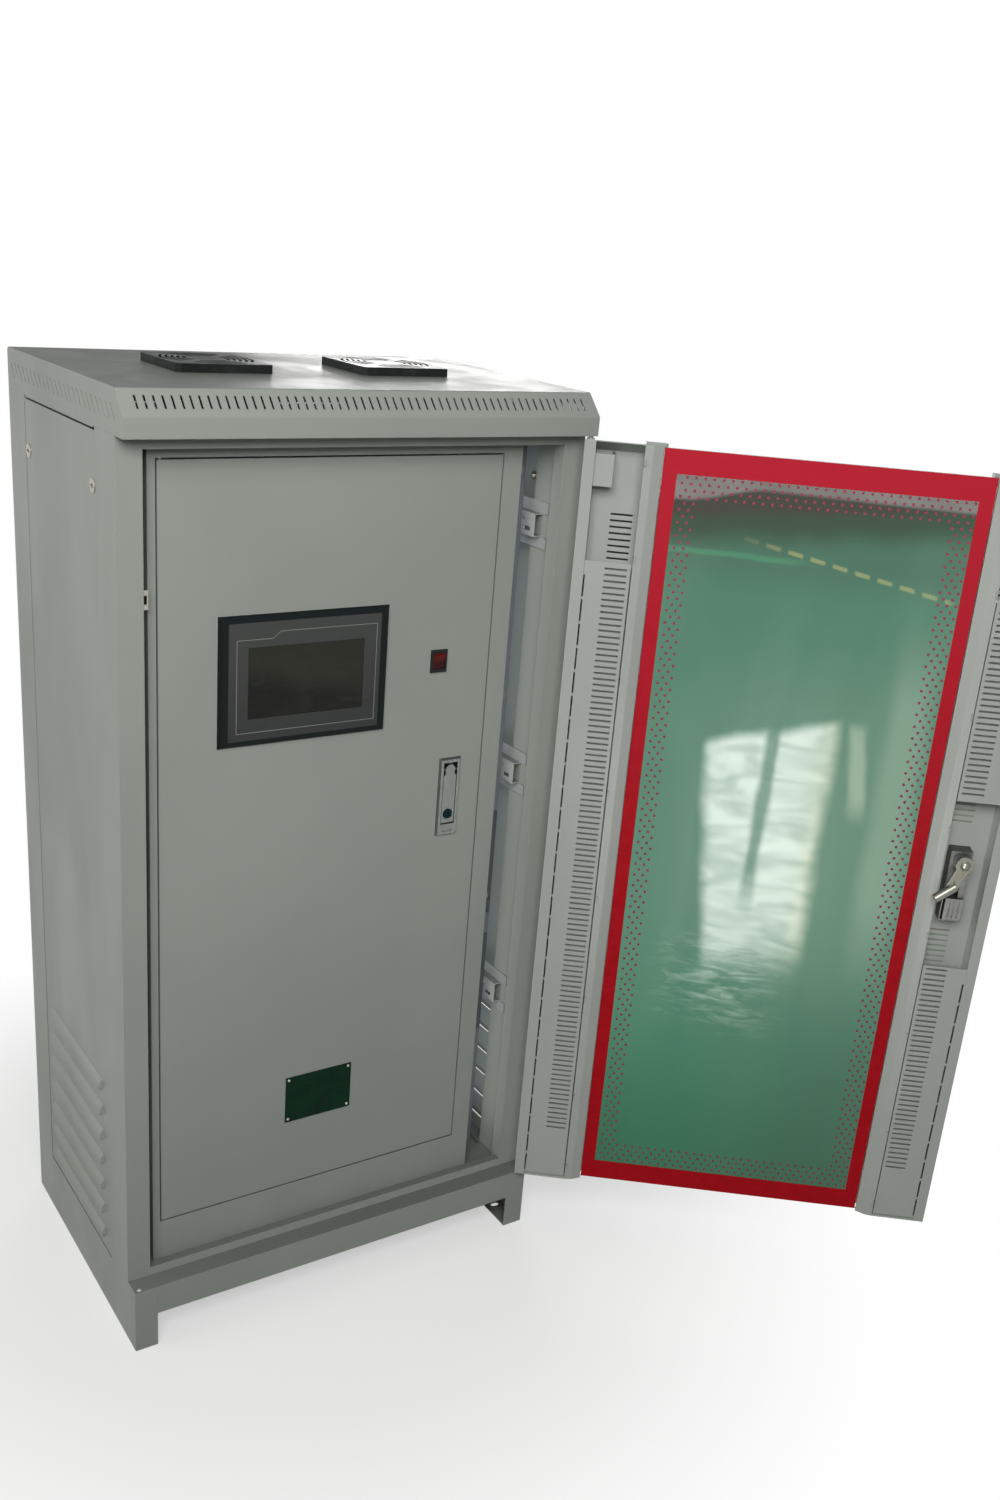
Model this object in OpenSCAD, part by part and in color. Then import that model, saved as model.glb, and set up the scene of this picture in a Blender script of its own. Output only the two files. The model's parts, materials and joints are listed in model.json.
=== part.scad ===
// Charger cabinet for automated guided vehicles, with its glazed door open.
// Origin on the floor under the middle of the cabinet, +X to the right, front faces -Y, +Z up.

/* [Cabinet] */
// Overall width
body_w = 600; // [590:5:660]
// Overall depth
body_d = 405; // [395:5:480]
// Overall height without the fan guards
body_h = 1213; // [1190:1:1300]
// Thickness of the casing sheet
sheet = 1.5; // [1.2:0.1:1.8]

/* [Base] */
// Height of the base up to its ledge
base_h = 92; // [80:1:110]
// Height of the front rail's face
base_rail_h = 42; // [30:1:50]
// Width of a foot's front face
foot_w = 30; // [26:1:34]
// Thickness of the feet's bottom flanges
foot_flange_t = 2; // [1.5:0.5:4]
// Distance of the floor-bolt slots from the side
bolt_side = 15; // [13:0.5:17]
// Distance of the floor-bolt slots from the front and the back
bolt_end = 48; // [30:1:70]
// Width of a floor-bolt slot
bolt_slot_w = 8; // [6:0.5:9]
// Length of a floor-bolt slot
bolt_slot_l = 13; // [10:1:16]

/* [Frame] */
// Set-back of the posts from the front
post_set = 26; // [25:1:30]
// Width of a post
post_w = 30; // [26:1:34]
// Depth of a post
post_d = 62; // [56:1:70]
// Depth of a post's front fold
post_fold = 21; // [18:1:26]
// Width of a post's step behind its front fold
post_step = 8; // [6:1:9]
// Height of the sill above the ledge
sill_h = 12; // [8:1:16]
// Height of the header below the top cover
header_h = 14; // [10:1:16]
// Depth of the sill and of the header
rail_d = 12; // [10:1:14]

/* [Top cover] */
// Height of the cover
cover_h = 49; // [45:1:60]
// Set-back of the chamfer on the top
chamfer_y = 25; // [20:1:30]
// Height of the chamfer
chamfer_z = 26; // [20:1:30]
// Bend radius of the cover's edges
cover_bend = 5; // [3:0.5:6]
// Number of slots in the chamfer
chamfer_slots = 57; // [20:1:57]
// Distance of the chamfer's outermost slots from the sides
chamfer_margin = 18.6; // [14:0.1:40]
// Width of a cover slot
slot_w = 2.4; // [1.6:0.1:3.5]
// Length of a slot in the chamfer
chamfer_slot_l = 17; // [12:1:20]
// Number of slanted slots in each side
side_slots = 24; // [10:1:24]
// Pitch of the slanted slots
side_pitch = 15.4; // [12:0.1:15.4]
// Length of a slanted slot
side_slot_l = 21; // [14:1:22]
// Slant of the side slots from upright
side_slant = 38; // [0:1:45]
// Width of the cover's bottom return
cover_return = 26; // [14:1:30]

/* [Fans] */
// Side of a fan guard and of a fan housing
fan_size = 120; // [110:1:130]
// Height of a fan guard
guard_h = 10; // [8:1:14]
// Depth of a fan housing
fan_depth = 38; // [25:1:40]
// Bore of a fan housing
fan_bore = 114; // [100:1:118]
// Distance of the fan axes from the middle plane
fan_x = 119.5; // [75:0.5:130]
// Distance of the fan axes from the front
fan_y = 222; // [140:1:240]
// Diameter of a fan hub
fan_hub = 44; // [36:1:50]
// Clearance between rotor and housing
fan_gap = 1.5; // [1:0.1:3]

/* [Side panels] */
// Set-in of a side panel's face
panel_inset = 0.6; // [0.4:0.1:1.4]
// Gap around a side panel
panel_gap = 1.2; // [0.8:0.1:2]
// Bottom of a side panel above the floor
panel_bottom = 87; // [82:1:87]
// Number of louvres in a side panel
louvre_count = 7; // [1:1:8]
// Pitch of the louvres
louvre_pitch = 38; // [30:1:38]
// Height of the lowest louvre above the floor
louvre_z = 110; // [110:1:130]
// Length of a louvre
louvre_l = 206; // [120:1:210]
// Distance of the panel latches from the panel's top
latch_drop = 60; // [40:1:80]

/* [Control panel] */
// Distance of the control surround from the front
surround_y = 50; // [46:1:56]
// Distance of the control surround's left edge from the cabinet's side
surround_left_in = 43; // [38:1:48]
// Distance of the control surround's right edge from the cabinet's side
surround_right_in = 75; // [65:1:85]
// Top of the control surround below the cover
surround_top = 4; // [2:0.5:8]
// Depth of the surround's outer folds
surround_d = 20; // [16:1:24]
// Width of the surround's left stile
stile_left = 9.5; // [9:0.5:14]
// Width of the surround's right stile
stile_right = 26.5; // [24:0.5:34]
// Height of the surround's bottom rail
surround_foot = 59.5; // [45:0.5:90]
// Height of the surround's top rail
surround_head = 23; // [20:0.5:40]
// Gap around the control door
door_gap = 2; // [1.5:0.1:3]
// Depth of the control door's folds
control_fold = 12; // [10:1:14]
// Swing axis behind the control door's face
control_axis_y = 4.5; // [4.2:0.1:5]
// Swing axis from the control door's left edge
control_axis_x = 4.5; // [4:0.5:5]
// Diameter of the control door's pins
control_pin_d = 4; // [3:0.5:4]
// Radial clearance of pins, shafts and spindles
pin_clear = 0.05; // [0.02:0.01:0.09]

/* [Screen] */
// Width of the screen bezel
bezel_w = 222; // [200:1:232]
// Height of the screen bezel
bezel_h = 160; // [150:1:170]
// Depth of the bezel in front of the door
bezel_t = 6; // [4:0.5:7]
// Width of the bezel's slope
bezel_slope = 4; // [2:0.5:6]
// Left edge of the bezel from the door's left edge
bezel_x = 71; // [60:1:80]
// Bottom edge of the bezel above the door's bottom
bezel_z = 644; // [560:1:700]
// Width of the visible screen
screen_w = 151; // [140:1:155]
// Height of the visible screen
screen_h = 87; // [80:1:90]
// Depth of the screen's housing behind the door
screen_back = 34; // [25:1:40]

/* [Switch] */
// Width of the rocker switch
switch_w = 24; // [20:1:28]
// Height of the rocker switch
switch_h = 30; // [28:1:34]
// Middle of the switch from the door's right edge
switch_x = 74; // [60:1:84]
// Middle of the switch above the door's bottom
switch_z = 726; // [600:1:800]
// Radius of the rocker about its pivot
rocker_r = 11; // [9:0.5:12]

/* [Panel lock] */
// Width of the lock plate
lock_w = 32; // [28:1:38]
// Height of the lock plate
lock_h = 109; // [100:1:120]
// Middle of the lock plate from the door's right edge
lock_x = 47; // [40:1:60]
// Middle of the lock plate above the door's bottom
lock_z = 539; // [400:1:600]
// Thickness of the lock plate
lock_t = 4; // [3.5:0.5:5]
// Width of the swing-out handle
lock_handle_w = 19; // [16:1:22]
// Diameter of the push button
lock_button_d = 12.6; // [10:0.1:13]

/* [Nameplate] */
// Width of the nameplate
plate_w = 97; // [60:1:120]
// Height of the nameplate
plate_h = 69; // [40:1:80]
// Left edge of the nameplate from the door's left edge
plate_x = 173; // [120:1:240]
// Bottom edge of the nameplate above the door's bottom
plate_z = 99; // [60:1:200]

/* [Glazed door] */
// Opening angle in which the door stands
door_angle = 142; // [100:1:150]
// Gap between the door's edge and the side of the cabinet
door_side_gap = 0.75; // [0.5:0.05:1]
// Thickness of the door's stiles
door_t = 30; // [28:1:31]
// Gap between the door and the posts
door_back_gap = 3; // [2:0.5:4]
// Gap under the door
door_foot_gap = 3.5; // [3:0.5:5]
// Gap over the door
door_head_gap = 2; // [1.5:0.5:4]
// Sheet of the stiles
stile_t = 1.2; // [1:0.1:1.5]
// Width of a stile's outer face up to the glass
stile_w = 102; // [98:1:110]
// Set-in of the outer face's edge by the slanted side
stile_slant = 14; // [12:0.5:16]
// Distance of a stile's inner ridge from the door's edge
ridge_x = 74; // [70:1:78]
// Width of the flank between the ridge and the glass
flank_w = 23; // [20:1:24]
// Distance of the glass behind the stile's inner plane
glass_in = 9.7; // [9:0.1:12]
// Thickness of the glass
glass_t = 5; // [4:0.5:6]
// Distance of the glass edge from the door's edge
glass_edge = 88; // [86:0.5:92]
// Distance of the hinge axis from the side of the cabinet
hinge_x = 7; // [6.8:0.1:7.5]
// Distance of the hinge axis from the front of the cabinet
hinge_y = 5.1; // [5.1:0.1:5.6]
// Diameter of the hinge pins
hinge_pin_d = 6; // [5:0.5:6]
// Width of the printed border at the sides
border_side = 18; // [14:1:30]
// Height of the printed border at the top and bottom
border_end = 30; // [20:1:40]

/* [Stile covers] */
// Pitch of the stile slots
stile_pitch = 8; // [8:0.5:12]
// Height of a stile slot
stile_slot_h = 2.4; // [2:0.1:4]
// Length of a stile slot
stile_slot_l = 28; // [20:1:30]
// Height of the lowest stile slot above the door's bottom
stile_slot_z = 86; // [80:1:120]
// Distance of the hinge-side cover's top from the door's top
cover_top_drop = 148; // [100:1:200]
// Bottom of the open bay at the lock, above the door's bottom
bay_low = 411; // [380:1:430]
// Top of the open bay at the lock, above the door's bottom
bay_high = 651; // [630:1:680]

/* [Door lock] */
// Middle of the lock housing from the door's free edge
swing_x = 50; // [47:1:54]
// Middle of the lock housing above the door's bottom
swing_z = 528; // [500:1:550]
// Width of the opening for the lock housing
swing_w = 29; // [26:1:32]
// Height of the opening for the lock housing
swing_h = 102; // [96:1:110]

/* [Hidden] */
$fn = 48;

seat = 0.3;
half_w = body_w / 2;
grey = [0.62, 0.64, 0.62];
door_grey = [0.64, 0.66, 0.64];
zinc = [0.72, 0.71, 0.66];
dark_steel = [0.16, 0.16, 0.17];

cover_bottom = body_h - cover_h;
post_x = half_w - post_w;
post_end = post_set + post_d;
step_x = post_x + post_step;
stop_end = post_end + 6;
header_bottom = cover_bottom - header_h;
sill_top = base_h + sill_h;

panel_face = half_w - panel_inset;
panel_sheet = 1.2;
panel_stop = step_x + sheet;
panel_top = cover_bottom - sheet - panel_gap - 1.3;
latch_z = panel_top - latch_drop;
latch_edge = 10;
latch_r = 6;
spindle_r = 4;

surround_left = half_w - surround_left_in;
surround_right = half_w - surround_right_in;
control_left = -surround_left + stile_left + door_gap;
control_right = surround_right - stile_right - door_gap;
control_w = control_right - control_left;
surround_t = 2;
surround_high = cover_bottom - surround_top;
control_bottom = base_h + surround_foot + door_gap;
control_top = surround_high - surround_head - door_gap;
control_h = control_top - control_bottom;
control_axis = [control_left + control_axis_x, surround_y + control_axis_y];

door_back = post_set - door_back_gap;
door_front = door_back - door_t;
door_low = base_h + door_foot_gap;
door_high = cover_bottom - door_head_gap;
door_edge = half_w - door_side_gap;
glass_back = door_back - glass_in;
hinge_axis = [half_w - hinge_x, hinge_y];
border_t = 0.25;
lever_up = 38;

// Points of an arc about a centre
function arc(c, r, a0, a1, n) = [for (i = [0:n]) c + r * [cos(a0 + (a1 - a0) * i / n), sin(a0 + (a1 - a0) * i / n)]];
function unit(v) = v / norm(v);
function left_of(a, b) = let (d = unit(b - a)) [-d[1], d[0]];
// The point of a line's copy that runs at distance t to its left
function shifted(p, i, t) =
    i == 0 ? p[0] + t * left_of(p[0], p[1]) :
    i == len(p) - 1 ? p[i] + t * left_of(p[i - 1], p[i]) :
    let (m = left_of(p[i - 1], p[i]) + left_of(p[i], p[i + 1])) p[i] + 2 * t * m / (m * m);
// Outline of a folded sheet: the line and its copy at the sheet's thickness, on its left
function folded(p, t) = concat(p, [for (i = [len(p) - 1:-1:0]) shifted(p, i, t)]);
// A line with its inner corners rounded to radius r
function bent(p, r, n = 4) = [for (i = [0:len(p) - 1]) each
    (i == 0 || i == len(p) - 1 ? [p[i]] :
    let (u = unit(p[i - 1] - p[i]), v = unit(p[i + 1] - p[i]), half = acos(u * v) / 2,
        c = p[i] + unit(u + v) * r / sin(half), s = p[i] + u * r / tan(half) - c, e = p[i] + v * r / tan(half) - c,
        a0 = atan2(s[1], s[0]), turn = atan2(e[1], e[0]) - a0,
        sweep = turn > 180 ? turn - 360 : turn < -180 ? turn + 360 : turn)
    arc(c, r, a0, a0 + sweep, n))];

module from_front() { translate([0, -body_d / 2, 0]) children(); }
module mirrored_x() { mirror([1, 0, 0]) children(); }
module mirrored_depth() { translate([0, body_d, 0]) mirror([0, 1, 0]) children(); }
// Extrudes an outline drawn in Y and Z along X
module along_x(x0, x1) { translate([x0, 0, 0]) rotate([90, 0, 90]) linear_extrude(x1 - x0) children(); }
// Extrudes an outline drawn in X and Z along Y
module along_y(y0, y1) { translate([0, y1, 0]) rotate([90, 0, 0]) linear_extrude(y1 - y0) children(); }
module along_z(z0, z1) { translate([0, 0, z0]) linear_extrude(z1 - z0) children(); }
module rod_y(x, z, d, y0, y1) { translate([x, y0, z]) rotate([-90, 0, 0]) cylinder(d = d, h = y1 - y0); }
module rod_z(x, y, d, z0, z1) { translate([x, y, z0]) cylinder(d = d, h = z1 - z0); }
module block(a, b) { translate(a) cube(b - a); }

// Base

module skid_right() from_front() {
    difference() {
        union() {
            along_x(half_w - sheet, half_w)
                polygon([[0, 0], [body_d, 0], [body_d, base_h], [body_d - post_end + post_set, base_h],
                    [body_d - post_d, panel_bottom - 1], [post_end, panel_bottom - 1], [post_end, base_h], [0, base_h]]);
            block([half_w - foot_w, 0, 0], [half_w, sheet, base_h]);
            block([half_w - foot_w, body_d - sheet, 0], [half_w, body_d, base_h]);
            block([half_w - foot_w, 0, 0], [half_w, body_d, foot_flange_t]);
            block([half_w - foot_w, 0, base_h - sheet], [half_w, post_end, base_h]);
            block([half_w - foot_w, body_d - post_d, base_h - sheet], [half_w, body_d, base_h]);
        }
        for (y = [bolt_end, body_d - bolt_end])
            translate([half_w - bolt_side, y, -1]) linear_extrude(foot_flange_t + 2) bolt_slot();
        rod_z(hinge_axis[0], hinge_axis[1], hinge_pin_d, base_h - sheet - 1, base_h + 1);
    }
}

module bolt_slot() {
    straight = bolt_slot_l - bolt_slot_w;
    square([straight, bolt_slot_w], center = true);
    for (s = [-1, 1]) translate([s * straight / 2, 0]) circle(d = bolt_slot_w);
}

module base_rail() from_front() {
    along_x(-half_w + foot_w, half_w - foot_w)
        polygon(folded([[post_set + rail_d, base_h], [0, base_h], [0, base_h - base_rail_h], [14, base_h - base_rail_h]], sheet));
}

gland_w = 200;
gland_d = 90;
gland_back = 130;
gland_y = body_d - gland_back;
module floor_plate() from_front() {
    along_z(base_h - sheet, base_h) difference() {
        translate([-half_w + foot_w, post_set + rail_d]) square([body_w - 2 * foot_w, body_d - 2 * (post_set + rail_d)]);
        translate([-gland_w / 2 + 10, gland_y + 10]) square([gland_w - 20, gland_d - 20]);
    }
}

gland_n = 3;
gland_pitch = 55;
module gland_plate() from_front() {
    difference() {
        union() {
            block([-gland_w / 2, gland_y, base_h], [gland_w / 2, gland_y + gland_d, base_h + 3]);
            for (i = [0:gland_n - 1]) translate([(i - (gland_n - 1) / 2) * gland_pitch, gland_y + gland_d / 2, 0]) {
                translate([0, 0, base_h + 3]) cylinder(d = 40, h = 8, $fn = 6);
                translate([0, 0, base_h + 11]) cylinder(d1 = 34, d2 = 28, h = 14);
                translate([0, 0, base_h - 22]) cylinder(d = 30, h = 22);
            }
        }
        for (i = [0:gland_n - 1])
            rod_z((i - (gland_n - 1) / 2) * gland_pitch, gland_y + gland_d / 2, 20, base_h - 30, base_h + 40);
    }
}

// Frame

// Right-hand front post; the left-hand one has a window for the door lock's lever
module front_post(window) from_front() {
    difference() {
        along_z(base_h, cover_bottom) {
            polygon(folded([[step_x, stop_end], [step_x, post_set + post_fold], [post_x, post_set + post_fold],
                [post_x, post_set], [half_w, post_set], [half_w, post_end]], sheet));
            translate([step_x, post_end - sheet]) square([post_w - post_step, sheet]);
        }
        if (window) block([post_x - 1, post_set + 4, door_low + swing_z + lever_up - 25], [post_x + sheet + 0.5, post_set + 19, door_low + swing_z + lever_up + 29]);
    }
}

module sill() from_front() {
    along_x(-post_x, post_x)
        polygon(folded([[post_set, base_h], [post_set, sill_top], [post_set + rail_d, sill_top], [post_set + rail_d, base_h]], -sheet));
}

module header() from_front() {
    along_x(-post_x, post_x)
        polygon(folded([[post_set, cover_bottom], [post_set, header_bottom],
            [post_set + rail_d, header_bottom], [post_set + rail_d, cover_bottom]], sheet));
}

// The rear of the frame is set flush with the cover's back
module to_rear() { translate([0, post_set, 0]) mirror([0, 1, 0]) children(); }

module side_top_rails() from_front() {
    for (s = [0, 1]) mirror([s, 0, 0])
        along_y(stop_end + seat, body_d + post_set - stop_end - seat)
            polygon(folded([[half_w, cover_bottom], [step_x, cover_bottom], [step_x, panel_top - 14]], sheet));
}

// Top cover

cover_line = [[0, cover_bottom], [0, body_h - chamfer_z], [chamfer_y, body_h], [body_d, body_h], [body_d, cover_bottom]];
cover_inner = [[sheet, cover_bottom + sheet], [sheet, body_h - chamfer_z - sheet * 0.4], [chamfer_y + sheet * 0.4, body_h - sheet],
    [body_d - sheet, body_h - sheet], [body_d - sheet, cover_bottom + sheet]];
chamfer_angle = atan(chamfer_z / chamfer_y);
chamfer_pitch = (body_w - 2 * chamfer_margin) / (chamfer_slots - 1);
module top_cover() from_front() {
    difference() {
        along_x(-half_w, half_w) polygon(bent(cover_line, cover_bend));
        along_x(-half_w + sheet, half_w - sheet) polygon(bent(cover_inner, cover_bend - sheet));
        block([-post_x, post_set + rail_d + 2, cover_bottom - 1], [post_x, body_d - post_d, cover_bottom + sheet + 1]);
        for (i = [0:chamfer_slots - 1])
            translate([(i - (chamfer_slots - 1) / 2) * chamfer_pitch, chamfer_y / 2, body_h - chamfer_z / 2])
                rotate([chamfer_angle, 0, 0]) cube([slot_w, chamfer_slot_l, 10], center = true);
        for (i = [0:side_slots - 1])
            translate([0, body_d / 2 + 5 + (i - (side_slots - 1) / 2) * side_pitch, body_h - cover_h / 2 - 1])
                rotate([-side_slant, 0, 0]) cube([body_w + 2, slot_w, side_slot_l], center = true);
        for (s = [-1, 1]) rod_z(s * fan_x, fan_y, fan_bore, body_h - 5, body_h + 1);
        for (s = [-1, 1]) rod_z(s * hinge_axis[0], hinge_axis[1], hinge_pin_d, cover_bottom - 1, cover_bottom + sheet + 1);
    }
}

// Fans

ring_n = 5;
module guard_at(x) from_front() {
    translate([x, fan_y, body_h]) {
        difference() {
            linear_extrude(guard_h) rounded_square(fan_size, 6);
            translate([0, 0, -1]) linear_extrude(guard_h - 1.5) rounded_square(fan_size - 5, 4);
            for (i = [0:ring_n - 1]) guard_ring(fan_hub / 2 + 2 + i * 7);
        }
        difference() {
            cylinder(d = fan_hub - 10, h = guard_h - 2);
            translate([0, 0, -1]) cylinder(d = fan_hub - 14, h = guard_h + 2);
        }
    }
}

// Four arcs of a slot that leave the diagonal spokes standing
module guard_ring(r) {
    spoke = 5;
    for (a = [0:90:270]) rotate([0, 0, a]) translate([0, 0, guard_h - 3]) linear_extrude(5) intersection() {
        difference() { circle(r = r + 4); circle(r = r); }
        polygon([[spoke * 0.7, 0], [spoke * 0.7 + fan_size, fan_size * 0.84], [spoke * 0.7 + fan_size, -fan_size * 0.84]]);
    }
}

module rounded_square(size, r) {
    square([size, size - 2 * r], center = true);
    square([size - 2 * r, size], center = true);
    for (x = [-1, 1], y = [-1, 1]) translate([x, y] * (size / 2 - r)) circle(r);
}

shaft_d = 5;
motor_z = 8;
module fan_frame_at(x) from_front() {
    translate([x, fan_y, body_h - sheet - fan_depth]) {
        difference() {
            linear_extrude(fan_depth) rounded_square(fan_size, 5);
            translate([0, 0, -1]) cylinder(d = fan_bore, h = fan_depth + 2);
        }
        cylinder(d = fan_hub, h = motor_z);
        cylinder(d = shaft_d, h = fan_depth - 4);
        for (a = [45:90:315]) rotate([0, 0, a]) translate([fan_hub / 2 - 1, -2, 0]) cube([(fan_bore - fan_hub) / 2 + 2, 4, 4]);
    }
}

blade_n = 7;
module fan_rotor_at(x) from_front() {
    translate([x, fan_y, body_h - sheet - fan_depth]) difference() {
        union() {
            translate([0, 0, motor_z + seat]) cylinder(d = fan_hub - 4, h = fan_depth - motor_z - 6);
            intersection() {
                translate([0, 0, motor_z + seat]) cylinder(d = fan_bore - 2 * fan_gap, h = fan_depth - motor_z - 6);
                for (i = [0:blade_n - 1]) rotate([0, 0, i * 360 / blade_n])
                    translate([fan_hub / 2 - 4, 0, fan_depth / 2 + 2]) rotate([38, 0, 0])
                        translate([0, -17, -1]) cube([fan_bore / 2, 34, 2]);
            }
        }
        translate([0, 0, motor_z - 1]) cylinder(d = shaft_d + 2 * pin_clear, h = fan_depth);
    }
}

// Side and rear panels

// A pressed louvre: a hood over a slot, open at its lower edge; its wall's face is X = 0
module louvre(l) {
    hood = bent([[0, 9], [4.6, 3], [5, -5]], 4);
    translate([0, l / 2, 0]) rotate([90, 0, 0]) linear_extrude(l) polygon(folded(hood, -panel_sheet));
    for (y = [-l / 2, l / 2 - panel_sheet])
        translate([0, y + panel_sheet, 0]) rotate([90, 0, 0]) linear_extrude(panel_sheet) polygon(concat([[0, -5]], [for (i = [len(hood) - 1:-1:0]) hood[i]]));
}

panel_y0 = post_end + panel_gap;
panel_y1 = body_d - post_d - panel_gap;
panel_fold = panel_face - panel_stop - seat;
module right_side_panel() from_front() {
    mid_y = (panel_y0 + panel_y1) / 2;
    difference() {
        block([panel_stop + seat, panel_y0, panel_bottom], [panel_face, panel_y1, panel_top]);
        block([0, panel_y0 + panel_sheet, panel_bottom + panel_sheet], [panel_face - panel_sheet, panel_y1 - panel_sheet, panel_top - panel_sheet]);
        for (i = [0:louvre_count - 1]) translate([0, mid_y - louvre_l / 2 + 2, louvre_z + i * louvre_pitch - 3])
            cube([half_w + 5, louvre_l - 4, 9]);
        for (y = [panel_y0 + latch_edge, panel_y1 - latch_edge])
            translate([0, y, latch_z]) rotate([0, 90, 0]) cylinder(r = latch_r + pin_clear, h = half_w + 5);
    }
    for (i = [0:louvre_count - 1]) translate([panel_face - 0.01, mid_y, louvre_z + i * louvre_pitch]) louvre(louvre_l);
}

// Quarter-turn latch: slotted head on the panel, spindle and a cam that grips the post's stop; dir is the cam's way
module latch_at(y, dir) from_front() {
    depth = panel_face - step_x + seat;
    translate([panel_face, y, latch_z]) rotate([0, 90, 0]) {
        difference() {
            union() {
                translate([0, 0, -panel_sheet - 1]) cylinder(r = latch_r, h = panel_sheet + 1.6);
                translate([0, 0, 0.05]) cylinder(r = latch_r + 2.5, h = 0.9);
            }
            translate([-1.2, -5, -1]) cube([2.4, 10, 4]);
            translate([0, 0, -1]) cylinder(r = 2.6, h = 4);
        }
        translate([0, 0, -depth - 4]) cylinder(r = spindle_r, h = depth + 4 - panel_sheet - 0.5);
        translate([0, 0, -depth - 2]) linear_extrude(2) {
            circle(r = 6);
            translate([-4, dir > 0 ? 0 : -latch_edge + 1.5]) square([8, latch_edge - 1.5]);
        }
    }
}

rear_louvres = 8;
module rear_panel() from_front() {
    gap = panel_gap;
    x1 = post_x - gap;
    y1 = body_d - 6;
    y0 = y1 - rail_d;
    difference() {
        block([-x1, y0, sill_top], [x1, y1, header_bottom - gap]);
        block([-x1 + panel_sheet, y0 - 1, sill_top + panel_sheet], [x1 - panel_sheet, y1 - panel_sheet, header_bottom - gap - panel_sheet]);
        for (s = [-1, 1], i = [0:rear_louvres - 1]) translate([s * 130 - louvre_l / 2 + 2, y0, louvre_z + 30 + i * 40 - 3])
            cube([louvre_l - 4, 30, 9]);
    }
    for (s = [-1, 1], i = [0:rear_louvres - 1])
        translate([s * 130, y1 - 0.01, louvre_z + 30 + i * 40]) rotate([0, 0, 90]) louvre(louvre_l);
}

// Rack inside

upright_y = 70;
upright_set = 35;
upright_face = 15;
upright_out = half_w - upright_set;
upright_in = upright_out - upright_face;
upright_d = 40;
front_step = 30;
rack_y = upright_y + front_step;
nut_x = upright_in + 6.5;
function nut_z(i) = base_h + 40 + 75 * i;
brace_high = header_bottom - 109;
brace_low = base_h + 269;
brace_zs = [brace_high, (brace_high + brace_low) / 2, brace_low];
module uprights_right() {
    for (back = [0, 1]) translate([0, back ? body_d : front_step, 0]) mirror([0, back, 0])
        difference() {
            along_z(base_h, header_bottom)
                polygon(folded([[upright_out, upright_y + upright_d], [upright_out, upright_y], [upright_in, upright_y],
                    [upright_in, upright_y + 25]], -sheet));
            for (k = [0:3]) block([nut_x - 4, upright_y - 1, nut_z(1 + 4 * k) - 4],
                [nut_x + 4, upright_y + sheet + 1, nut_z(1 + 4 * k) + 4]);
        }
}

module rack_uprights() from_front() for (s = [0, 1]) mirror([s, 0, 0]) uprights_right();

// Depth brace in hat profile, from the front post to the rear post
module brace_right(z) {
    x_wall = step_x - seat / 3;
    translate([0, 0, z]) difference() {
        union() {
            for (s = [-1, 1]) along_y(upright_y - 12, body_d - upright_y + 12)
                translate([x_wall - sheet, s * 22.5 - 7.5]) square([sheet, 15]);
            along_y(upright_y + 1, body_d - upright_y - 1) {
                translate([upright_out + seat, -15]) square([sheet, 30]);
                for (s = [-1, 1]) translate([upright_out + seat, s * 15 - (s > 0 ? sheet : 0)]) square([x_wall - upright_out - seat, sheet]);
            }
        }
        for (y = [upright_y + 10:36:body_d - upright_y - 40]) {
            translate([upright_out - 2, y, -8.5]) cube([sheet + 4, 14, 5]);
            translate([upright_out - 2, y + 18, 5]) rotate([0, 90, 0]) cylinder(d = 5, h = 6);
            translate([upright_out - 2, y + 27, -3]) rotate([0, 90, 0]) cylinder(d = 5, h = 6);
        }
    }
}

module depth_braces() from_front() for (s = [0, 1], z = brace_zs) mirror([s, 0, 0]) brace_right(z);

module cage_nuts() from_front() {
    for (k = [0:3])
        translate([nut_x, rack_y, nut_z(1 + 4 * k)]) difference() {
            union() {
                block([-3.8, 0, -3.8], [3.8, sheet, 3.8]);
                block([-5, -1, -5], [5, 0, 5]);
                block([-4.6, sheet, -4.6], [5, sheet + 5, 4.6]);
            }
            translate([0, -2, 0]) rotate([-90, 0, 0]) cylinder(d = 5, h = 12);
        }
}

module_ear = 35;
module_w = 2 * (upright_in - module_ear);
module_h = 176;
module_y = 90;
module_depth = 240;
upper_z = base_h + 378;
lower_z = base_h + 188;
module power_module(z) from_front() {
    difference() {
        union() {
            block([-module_w / 2, module_y, z], [module_w / 2, module_y + module_depth, z + module_h]);
            block([-upright_out + 1, rack_y - 2, z + 10], [upright_out - 1, rack_y, z + module_h - 10]);
        }
        for (s = [-1, 1], k = [0:3]) block([s * nut_x - 6, rack_y - 3, nut_z(1 + 4 * k) - 6],
            [s * nut_x + 6, rack_y + 1, nut_z(1 + 4 * k) + 6]);
        block([-module_w / 2 + 2, module_y + 2, z + 2], [module_w / 2 - 2, module_y + module_depth - 2, z + module_h - 2]);
        for (i = [0:15]) block([-100 + i * 13, module_y - 1, z + 30], [-92 + i * 13, module_y + 3, z + module_h - 60]);
    }
    for (s = [-1, 1]) translate([s * 150, module_y - 16, z + module_h / 2]) {
        for (t = [-46, 46]) translate([0, 0, t]) rotate([-90, 0, 0]) cylinder(d = 7, h = 17);
        translate([0, 0, -50]) cylinder(d = 8, h = 100);
    }
}

plate_set = 60;
plate_low = 20;
plate_high = 150;
breaker_d = 68;
breaker_w = 26;
contactor_w = 80;
terminal_d = 50;
terminal_pitch = 14;
rail_end = upright_in - 60;
terminal_n = floor((2 * rail_end - 240) / terminal_pitch);
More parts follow.
